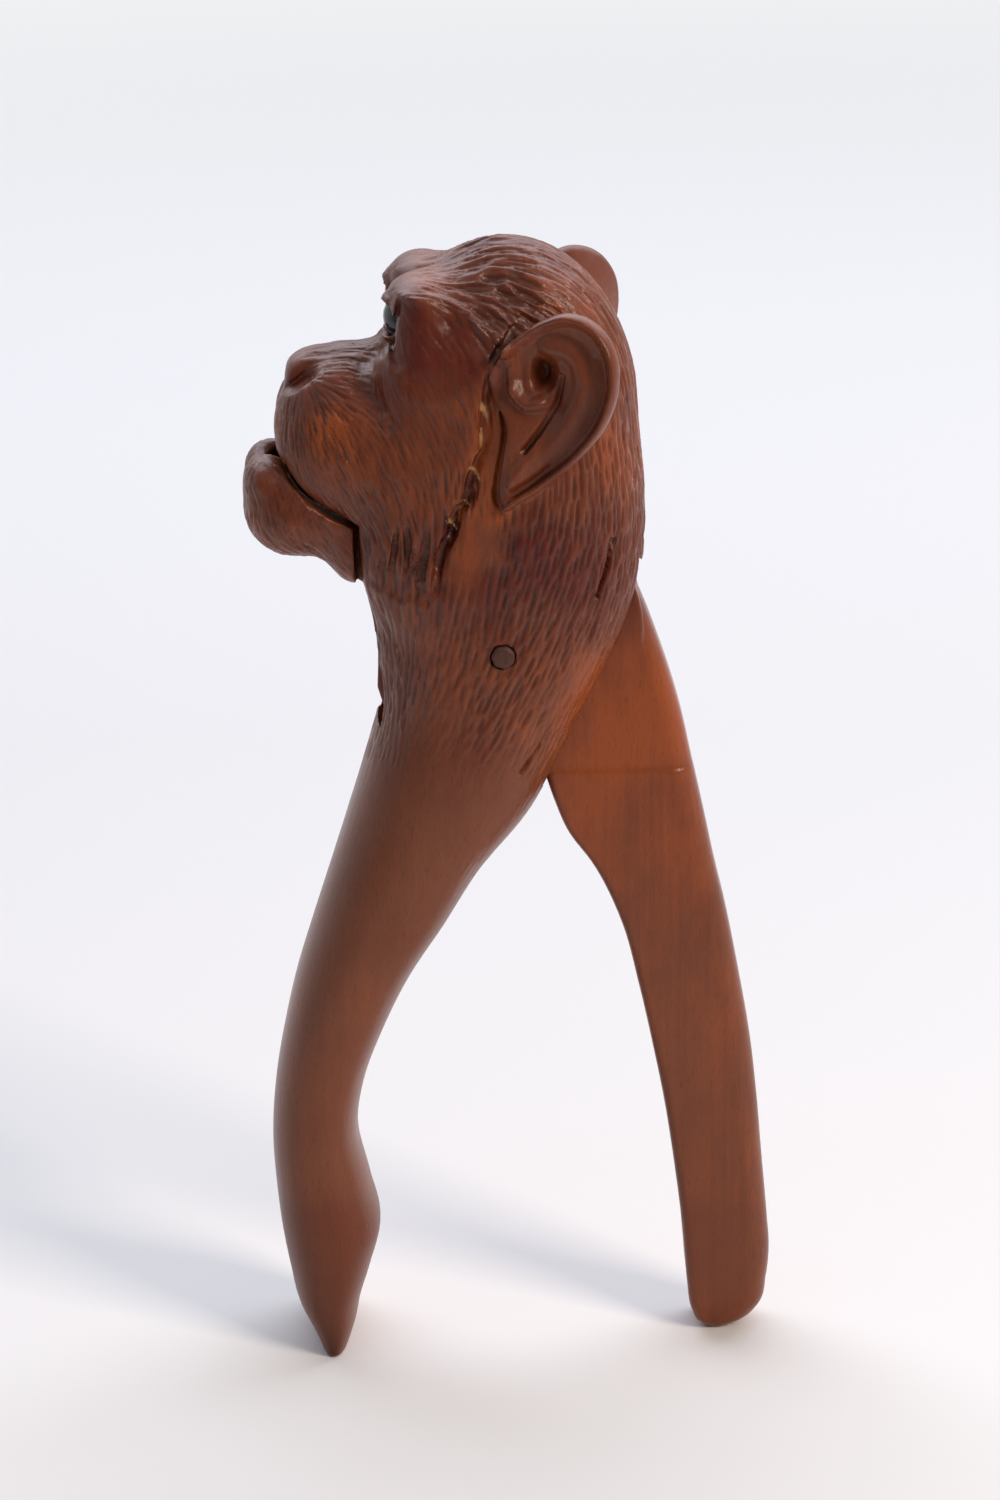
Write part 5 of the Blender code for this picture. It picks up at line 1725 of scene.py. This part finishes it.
def turned(profile: Array, around: int, middle: Array, axis: Array) -> tuple[Array, Array]:
    """A turned form: each radius of a profile carried round an axis, its ends shut to points.

    Args:
        profile: Rows of place along the axis and radius, the first and last radius being nought.
        around: Points round.
        middle: Where the profile's nought lies.
        axis: Unit direction of the axis.

    Returns:
        Points and faces, the faces outward when the profile runs along the axis.
    """
    side = np.cross(UPRIGHT, axis)
    side /= np.linalg.norm(side)
    up = np.cross(axis, side)
    angle = np.linspace(0.0, math.tau, around, endpoint=False)
    ring = np.cos(angle)[:, None] * side + np.sin(angle)[:, None] * up
    rows = profile[1:-1]
    grid = middle + rows[:, None, :1] * axis + rows[:, None, 1:] * ring
    ends = middle + profile[[0, -1], :1] * axis
    points = np.concatenate([grid.reshape(-1, 3), ends])
    count = len(rows)
    i, j = np.meshgrid(np.arange(count - 1), np.arange(around), indexing="ij")
    k = (j + 1) % around
    quads = np.stack([i * around + j, i * around + k, (i + 1) * around + k, (i + 1) * around + j], -1)
    turn = np.arange(around)
    following = (turn + 1) % around
    last = (count - 1) * around
    first_fan = np.stack([following, turn, np.full(around, count * around)], -1)
    last_fan = np.stack([last + turn, last + following, np.full(around, count * around + 1)], -1)
    faces = quads.reshape(-1, 4).tolist() + first_fan.tolist() + last_fan.tolist()
    return points, np.array(faces, dtype=object)


@dataclass(frozen=True)
class Peg:
    """The whittled wooden peg that the jaw turns on."""

    radius: float = 1.97
    half_length: float = 18.1
    chamfer: float = 0.35

    def build(self) -> Piece:
        """A turned rod with eased ends, flattened here and there by the knife."""
        r, h, c = self.radius, self.half_length, self.chamfer
        inner = np.linspace(-h + c, h - c, 24)
        near_end, far_end = [(-h, 0.0), (-h, r * HALF), (-h, r - c)], [(h, r - c), (h, r * HALF), (h, 0.0)]
        profile = np.array(near_end + [(a, r) for a in inner] + far_end)
        points, faces = turned(profile, ROUND, PIVOT, np.array([0.0, 1.0, 0.0]))
        angle = np.arctan2(points[:, 2] - PIVOT_Z, points[:, 0] - PIVOT_X)
        flats = 1.0 - 0.05 * np.clip(np.cos(angle * 7 + 0.6 * np.sin(points[:, 1])), 0, 1)
        points[:, 0] = PIVOT_X + (points[:, 0] - PIVOT_X) * flats
        points[:, 2] = PIVOT_Z + (points[:, 2] - PIVOT_Z) * flats
        return new_mesh("peg", points, faces)


@dataclass(frozen=True)
class Eye:
    """One glass eye and the painted disc behind it."""

    side: Side

    def lens(self) -> Piece:
        """The lens: a flat back and a dome that is part of a ball."""
        socket = Socket(self.side)
        angle = np.linspace(0.0, math.pi / 2, 14)
        edge = math.asin(min(socket.radius / socket.ball, 1.0))
        turn = edge * (1.0 - angle / (math.pi / 2))
        ball, radius = socket.ball, socket.radius
        dome = [(ball * math.cos(a) - ball + socket.dome, ball * math.sin(a)) for a in turn]
        profile = np.array([(-0.6, 0.0), (-0.6, 2.0), (-0.6, radius - 0.2), (-0.45, radius)] + dome)
        profile[-1, 1] = 0.0
        points, faces = turned(profile, ROUND, socket.middle, socket.axis)
        return new_mesh(f"eye_lens_{self.side.name.lower()}", points, faces)

    def disc(self) -> Piece:
        """The painted disc: a thin round plate just behind the lens."""
        socket = Socket(self.side)
        r, back, front = DISC_RADIUS, -1.8, -DISC_DEPTH
        fore = [(front - 0.02, r), (front, r - 0.1), (front, 0.0)]
        profile = np.array([(back, 0.0), (back, 2.0), (back, r)] + fore)
        points, faces = turned(profile, ROUND, socket.middle, socket.axis)
        return new_mesh(f"eye_disc_{self.side.name.lower()}", points, faces)


# Finishes

Links = dict[str | int, object]
Stops = tuple[tuple[float, str], ...]


def linear(code: str) -> tuple[float, float, float, float]:
    """A hex colour as the eye sees it, turned to the linear values that light adds up in."""
    parts = [int(code[i : i + 2], 16) / 255 for i in (1, 3, 5)]
    return (*[p / 12.92 if p <= 0.04045 else ((p + 0.055) / 1.055) ** 2.4 for p in parts], 1.0)


class Recipe:
    """A tree of nodes in the making, a material's or the world's."""

    def __init__(self, owner: Material | bpy.types.World) -> None:
        """Start with the owner's own nodes, its shader being the first that it comes with."""
        owner.use_nodes = True
        self.owner = owner
        self.tree = owner.node_tree
        self.shader = self.tree.nodes.get("Principled BSDF") or self.tree.nodes["Background"]

    def add(self, kind: str, links: Links, stops: Stops = (), **settings: object) -> bpy.types.Node:
        """Add a node.

        Args:
            kind: The node's type.
            links: Input name or number to a value or to an output socket.
            stops: Places and colours of its ramp, where it has one.
            settings: The node's own properties.

        Returns:
            The node.
        """
        node = self.tree.nodes.new(kind)
        for name, value in settings.items():
            setattr(node, name, value)
        for number, (place, code) in enumerate(stops):
            steps = node.color_ramp.elements
            step = steps[number] if number < len(steps) else steps.new(place)
            step.position, step.color = place, linear(code)
        self.give(node, links)
        return node

    def give(self, node: bpy.types.Node, links: Links) -> None:
        """Set or link the inputs of a node."""
        for name, value in links.items():
            if isinstance(value, Output):
                self.tree.links.new(value, node.inputs[name])
            else:
                node.inputs[name].default_value = value


@dataclass(frozen=True)
class WaxedWood:
    """Close-grained reddish wood, cut with gouges, stained and waxed.

    The eye sees a deep red-brown with faint streaks along the block and short dark flecks, shade
    painted dark into the cuts and hollows, a warm orange where hands have rubbed and where light is
    painted, a painted sheen on the handles, pale painted glints on the ruff's slivers, and a soft gloss
    that turns lilac where it mirrors the sky. Where a tone is given, it holds all over.
    """

    name: str
    deep: str = "#5c1a06"
    plain: str = "#73381e"
    # The orange end, for rubbed wood and for light that the tone paints
    rubbed: str = "#96481e"
    # The colour of the painted shade in the cuts and hollows, and of the short dark flecks
    wax: str = "#1e0a04"
    # Pale colour of the painted glints on the ruff's slivers
    sliver_glint: str = "#b08055"
    # The handles' colour for their wear, with a painted sheen in it
    handled_and_sheen: str = "#784528"
    gloss: float = 0.3
    tone: float | None = None

    def build(self) -> Material:
        """Tone, clouds, streaks and flecks of colour, with shade painted dark into cuts and hollows, under
        thin wax.

        Each noise has so many cells to the metre across and along the block: clouds are 9 mm wide,
        streaks 1.1 mm and flecks 0.26 mm. Real pores are under 0.1 mm, and are drawn 0.4 mm wide so
        that they show.
        """
        r = Recipe(bpy.data.materials.new(self.name))
        place = r.add("ShaderNodeTexCoord", {}).outputs["Object"]
        told = {}
        for name, across, along, detail, rough in (
            ("streak", 900.0, 34.0, 4.0, 0.6),
            ("cloud", 110.0, 60.0, 4.0, 0.6),
            ("fleck", 3800.0, 420.0, 2.0, 0.5),
            ("pores", 2600.0, 900.0, 3.0, 0.65),
        ):
            links = {"Vector": place, "Scale": (across, across, along)}
            spread = r.add("ShaderNodeMapping", links).outputs[0]
            links = {"Vector": spread, "Scale": 1.0, "Detail": detail, "Roughness": rough}
            told[name] = r.add("ShaderNodeTexNoise", links).outputs["Fac"]
        # Marks: tone with painted light and shade, wear with a painted sheen, grooves and hollows as painted
        # shade, painted glints
        for name in ("tone", "wear_and_sheen", "groove", "hollow", "sliver_glint"):
            told[name] = r.add("ShaderNodeAttribute", {}, attribute_name=name).outputs["Fac"]
        for name, low, high, start, end in (
            ("streak", 0.3, 0.7, -0.09, 0.09),
            ("cloud", 0.3, 0.7, -0.16, 0.16),
            ("fleck", 0.60, 0.72, 0.0, 0.3),
            ("tone", -1.0, 1.0, 0.1, 0.9),
            ("wear_and_sheen", 0.0, 1.0, 0.0, 0.5),
            ("hollow", 0.35, 0.95, 0.0, 0.75),
            ("groove", 0.15, 0.95, 0.0, 0.5),
        ):
            links = {0: told[name], 1: low, 2: high, 3: start, 4: end}
            told[name] = r.add("ShaderNodeMapRange", links).outputs[0]
        if self.tone is not None:
            told["tone"] = self.tone
        # Painted shade from the hollows and grooves, together with the flecks, darkens the colour
        for name, first, second, operation in (
            ("shade", "tone", "streak", "ADD"),
            ("shade", "shade", "cloud", "ADD"),
            ("painted_shade_and_flecks", "hollow", "groove", "MAXIMUM"),
            ("painted_shade_and_flecks", "painted_shade_and_flecks", "fleck", "MAXIMUM"),
        ):
            links = {0: told[first], 1: told[second]}
            told[name] = r.add("ShaderNodeMath", links, operation=operation).outputs[0]
        stops = ((0.1, self.deep), (0.5, self.plain), (0.9, self.rubbed))
        colour = r.add("ShaderNodeValToRGB", {"Fac": told["shade"]}, stops).outputs["Color"]
        # Over the colour go the handles' wear with its painted sheen, the painted shade with the flecks, and
        # the slivers' painted glints
        for name, code in (("wear_and_sheen", self.handled_and_sheen), ("painted_shade_and_flecks", self.wax), ("sliver_glint", self.sliver_glint)):
            links = {"Factor": told[name], 6: colour, 7: linear(code)}
            colour = r.add("ShaderNodeMix", links, data_type="RGBA").outputs[2]
        links = {0: told["shade"], 1: 0.1, 2: 0.7, 3: self.gloss + 0.06, 4: self.gloss - 0.03}
        rough = r.add("ShaderNodeMapRange", links).outputs[0]
        links = {"Strength": 0.5, "Distance": 0.00012, "Height": told["pores"]}
        normal = r.add("ShaderNodeBump", links).outputs[0]
        r.give(r.shader, {"Base Color": colour, "Roughness": rough, "Normal": normal, "IOR": 1.38})
        return r.owner


@dataclass(frozen=True)
class EyeGlass:
    """Blown and ground dark glass: nearly black, with a sharp gloss."""

    name: str = "ground_eye_glass"
    colour: str = "#12161a"

    def build(self) -> Material:
        """A smooth dark blue-grey glass that lets a little of the disc show."""
        r = Recipe(bpy.data.materials.new(self.name))
        looks = {"Base Color": linear(self.colour), "Roughness": 0.04, "IOR": 1.52}
        r.give(r.shader, {**looks, "Transmission Weight": 0.8})
        return r.owner


@dataclass(frozen=True)
class IrisPaint:
    """Brown enamel with a black pupil, brushed on in rings."""

    side: Side
    rings: Stops = (
        (0.0, "#050404"), (0.4, "#050404"), (0.46, "#6a3a12"), (0.85, "#3a1c08"), (1.0, "#0a0502"),
    )

    def build(self) -> Material:
        """Colour by how far a place lies from the eye's axis: pupil, iris and dark rim."""
        r = Recipe(bpy.data.materials.new(f"iris_enamel_{self.side.name.lower()}"))
        socket = Socket(self.side)
        place = r.add("ShaderNodeTexCoord", {}).outputs["Object"]
        middle = tuple(float(v) * MM for v in socket.middle - DISC_DEPTH * socket.axis)
        links = {0: place, 1: middle}
        away = r.add("ShaderNodeVectorMath", links, operation="DISTANCE").outputs["Value"]
        links = {0: away, 1: 0.0, 2: DISC_RADIUS * MM, 3: 0.0, 4: 1.0}
        part = r.add("ShaderNodeMapRange", links).outputs[0]
        colour = r.add("ShaderNodeValToRGB", {"Fac": part}, self.rings).outputs["Color"]
        r.give(r.shader, {"Base Color": colour, "Roughness": 0.3})
        return r.owner


def dress(piece: Piece, material: Material, body: Body, node: str) -> None:
    """Give a piece its finish and its body, and hide the CAD node that it stands for.

    Args:
        piece: The piece.
        material: Its finish.
        body: The body that it moves with.
        node: The CAD node that it stands for.
    """
    piece.data.materials.clear()
    piece.data.materials.append(material)
    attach(piece, body.value)
    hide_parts(node)
    LOG.info("%s: %d faces, stands for %s", piece.name, len(piece.data.polygons), node)


# The studio


def place_by_axes(thing: Piece, right: Array, up: Array, back: Array, place: Array) -> None:
    """Link a lamp or a camera, the columns of its matrix being its three axes and its place.

    Args:
        thing: The lamp or camera.
        right: Its own x.
        up: Its own y.
        back: Its own z, away from what it faces.
        place: Where it stands, in metres.
    """
    rows = np.stack([right, up, back, place], axis=-1).tolist()
    thing.matrix_world = Matrix(rows + [[0.0, 0.0, 0.0, 1.0]])
    bpy.context.scene.collection.objects.link(thing)


@dataclass(frozen=True)
class Lamp:
    """A soft lamp, so wide and so high in metres, that faces the head."""

    name: str
    place: Place
    size: Pair
    power: float
    colour: str
    aim: Place = (0.0, 0.0, 0.12)

    def build(self) -> None:
        """Hang the lamp level, its back turned from what it faces."""
        data = bpy.data.lights.new(self.name, "AREA")
        data.shape = "RECTANGLE"
        data.size, data.size_y = self.size
        data.energy = self.power
        data.color = linear(self.colour)[:3]
        back = np.array(self.place) - np.array(self.aim)
        back /= np.linalg.norm(back)
        side = np.cross(UPRIGHT, back)
        side /= np.linalg.norm(side)
        place_by_axes(bpy.data.objects.new(self.name, data), side, np.cross(back, side), back, self.place)


@dataclass(frozen=True)
class Studio:
    """A plain pale floor, soft lamps and the camera at the photograph's view.

    The camera's axes are its right, up and backward. The floor's greys are told from near the
    camera to far behind the object, and the floor passes into the backdrop between the two lengths
    of its edge, in metres.
    """

    camera_place: Place = (-1.961, -711.072, 368.438)
    camera_axes: tuple[Place, ...] = (
        (0.99978, -0.00716, -0.01968), (0.02094, 0.34195, 0.93949), (0.0, -0.93969, 0.34202),
    )
    lens: float = 105.74
    floor_size: float = 40000.0
    floor_drop: float = 0.02
    floor_edge: Pair = (0.45, 1.5)
    greys: Stops = (
        (0.0, "#b6b4b1"), (0.23, "#fcfaf7"), (0.35, "#f4f1ed"), (0.6, "#e8e6e3"), (1.0, "#e8e6e3"),
    )
    paper: str = "#f7f8fa"
    sky_colour: str = "#dfe8f7"
    sky_light: float = 0.26
    lamps: tuple[Lamp, ...] = (
        Lamp("window", (0.95, -0.75, 0.85), (0.45, 0.45), 12.0, "#ffeedd"),
        Lamp("skylight", (0.1, 0.85, 1.2), (2.8, 1.15), 27.5, "#eef2ff"),
    )

    def camera(self) -> None:
        """Place the camera."""
        data = bpy.data.cameras.new("photo_camera")
        data.lens = self.lens
        data.sensor_width = 36.0
        data.clip_start, data.clip_end = 0.05, 50.0
        camera = bpy.data.objects.new("photo_camera", data)
        place_by_axes(camera, *self.camera_axes, [value * MM for value in self.camera_place])
        bpy.context.scene.camera = camera

    def seen(self, r: Recipe) -> Output:
        """One for rays from the camera, a gloss or a glass, which show the backdrop; nought for light."""
        path = r.add("ShaderNodeLightPath", {}).outputs
        links = {0: path["Is Camera Ray"], 1: path["Is Glossy Ray"]}
        either = r.add("ShaderNodeMath", links, operation="ADD").outputs[0]
        links = {0: either, 1: path["Is Transmission Ray"]}
        return r.add("ShaderNodeMath", links, operation="ADD", use_clamp=True).outputs[0]

    def backdrop(self, r: Recipe, heading: Output) -> Output:
        """How bright the backdrop looks that way: white behind and above, pale grey on the camera's side.

        Args:
            r: The tree that wants it.
            heading: The way that a ray goes.

        Returns:
            The brightness.
        """
        way = r.add("ShaderNodeSeparateXYZ", {0: heading}).outputs
        behind = r.add("ShaderNodeMath", {0: way[2], 1: 0.8, 2: way[1]}, operation="MULTIPLY_ADD").outputs[0]
        limits = {"Value": behind, "From Min": -0.7, "From Max": 0.35, "To Min": 0.36, "To Max": 0.95}
        return r.add("ShaderNodeMapRange", limits, interpolation_type="SMOOTHSTEP").outputs["Result"]

    def floor(self) -> None:
        """A wide pale paper floor, which passes into the backdrop far from the object."""
        reach = self.floor_size * HALF
        corners = np.array([(-reach, -reach, 0), (reach, -reach, 0), (reach, reach, 0), (-reach, reach, 0)])
        floor = new_mesh("floor", corners - np.array([0, 0, self.floor_drop]), np.array([(0, 1, 2, 3)]))
        r = Recipe(bpy.data.materials.new("pale_paper"))
        place = r.add("ShaderNodeTexCoord", {}).outputs["Object"]
        depth = r.add("ShaderNodeSeparateXYZ", {0: place}).outputs[1]
        links = {0: depth, 1: -0.42, 2: 0.8, 3: 0.0, 4: 1.0}
        links = {"Fac": r.add("ShaderNodeMapRange", links).outputs[0]}
        colour = r.add("ShaderNodeValToRGB", links, self.greys).outputs["Color"]
        r.give(r.shader, {"Base Color": colour, "Roughness": 0.9, "Specular IOR Level": 0.2})
        away = r.add("ShaderNodeVectorMath", {0: place}, operation="LENGTH").outputs["Value"]
        heading = r.add("ShaderNodeVectorMath", {0: place}, operation="NORMALIZE").outputs[0]
        links = {0: away, 1: self.floor_edge[0], 2: self.floor_edge[1], 3: 0.0, 4: 1.0}
        far = r.add("ShaderNodeMapRange", links, interpolation_type="SMOOTHSTEP").outputs[0]
        share = r.add("ShaderNodeMath", {0: far, 1: self.seen(r)}, operation="MULTIPLY").outputs[0]
        links = {"Color": linear(self.paper), "Strength": self.backdrop(r, heading)}
        glow = r.add("ShaderNodeEmission", links).outputs[0]
        mixed = r.add("ShaderNodeMixShader", {0: share, 1: r.shader.outputs[0], 2: glow}).outputs[0]
        r.give(r.tree.nodes["Material Output"], {"Surface": mixed})
        floor.data.materials.append(r.owner)

    def sky(self) -> None:
        """An even sky that lights the object softly, with the backdrop where a ray shows it."""
        r = Recipe(bpy.data.worlds.new("pale_sky"))
        r.give(r.shader, {"Color": linear(self.sky_colour), "Strength": self.sky_light})
        heading = r.add("ShaderNodeTexCoord", {}).outputs["Generated"]
        links = {"Color": linear(self.paper), "Strength": self.backdrop(r, heading)}
        show = r.add("ShaderNodeBackground", links).outputs[0]
        links = {0: self.seen(r), 1: r.shader.outputs[0], 2: show}
        mixed = r.add("ShaderNodeMixShader", links).outputs[0]
        r.give(r.tree.nodes["World Output"], {"Surface": mixed})
        bpy.context.scene.world = r.owner

    def build(self) -> None:
        """Set up everything that isn't the object."""
        bpy.context.scene.view_settings.view_transform = "Standard"
        self.camera()
        self.floor()
        self.sky()
        for lamp in self.lamps:
            lamp.build()
        LOG.info("studio set")


def main() -> None:
    """Build every piece in order and say what was made."""
    logging.basicConfig(level=logging.INFO, format="%(name)s: %(message)s")
    Studio().build()
    wood = WaxedWood("carved_waxed_wood").build()
    plank = WaxedWood("planed_waxed_wood").build()
    dark = {"deep": "#2c1710", "plain": "#4a2c20", "rubbed": "#6d4636"}
    dowel = WaxedWood("cut_dowel", **dark, gloss=0.5, tone=0.5).build()
    dress(HeadLever().build(), wood, Body.HEAD, "head_lever")
    dress(JawLever().build(), plank, Body.JAW, "jaw_lever")
    dress(Peg().build(), dowel, Body.HEAD, "pivot_peg")
    glass = EyeGlass().build()
    for side in Side:
        eye = Eye(side)
        name = side.name.lower()
        dress(eye.lens(), glass, Body.HEAD, f"eye_glass_{name}")
        dress(eye.disc(), IrisPaint(side).build(), Body.HEAD, f"eye_iris_{name}")


if __name__ == "__main__":
    main()
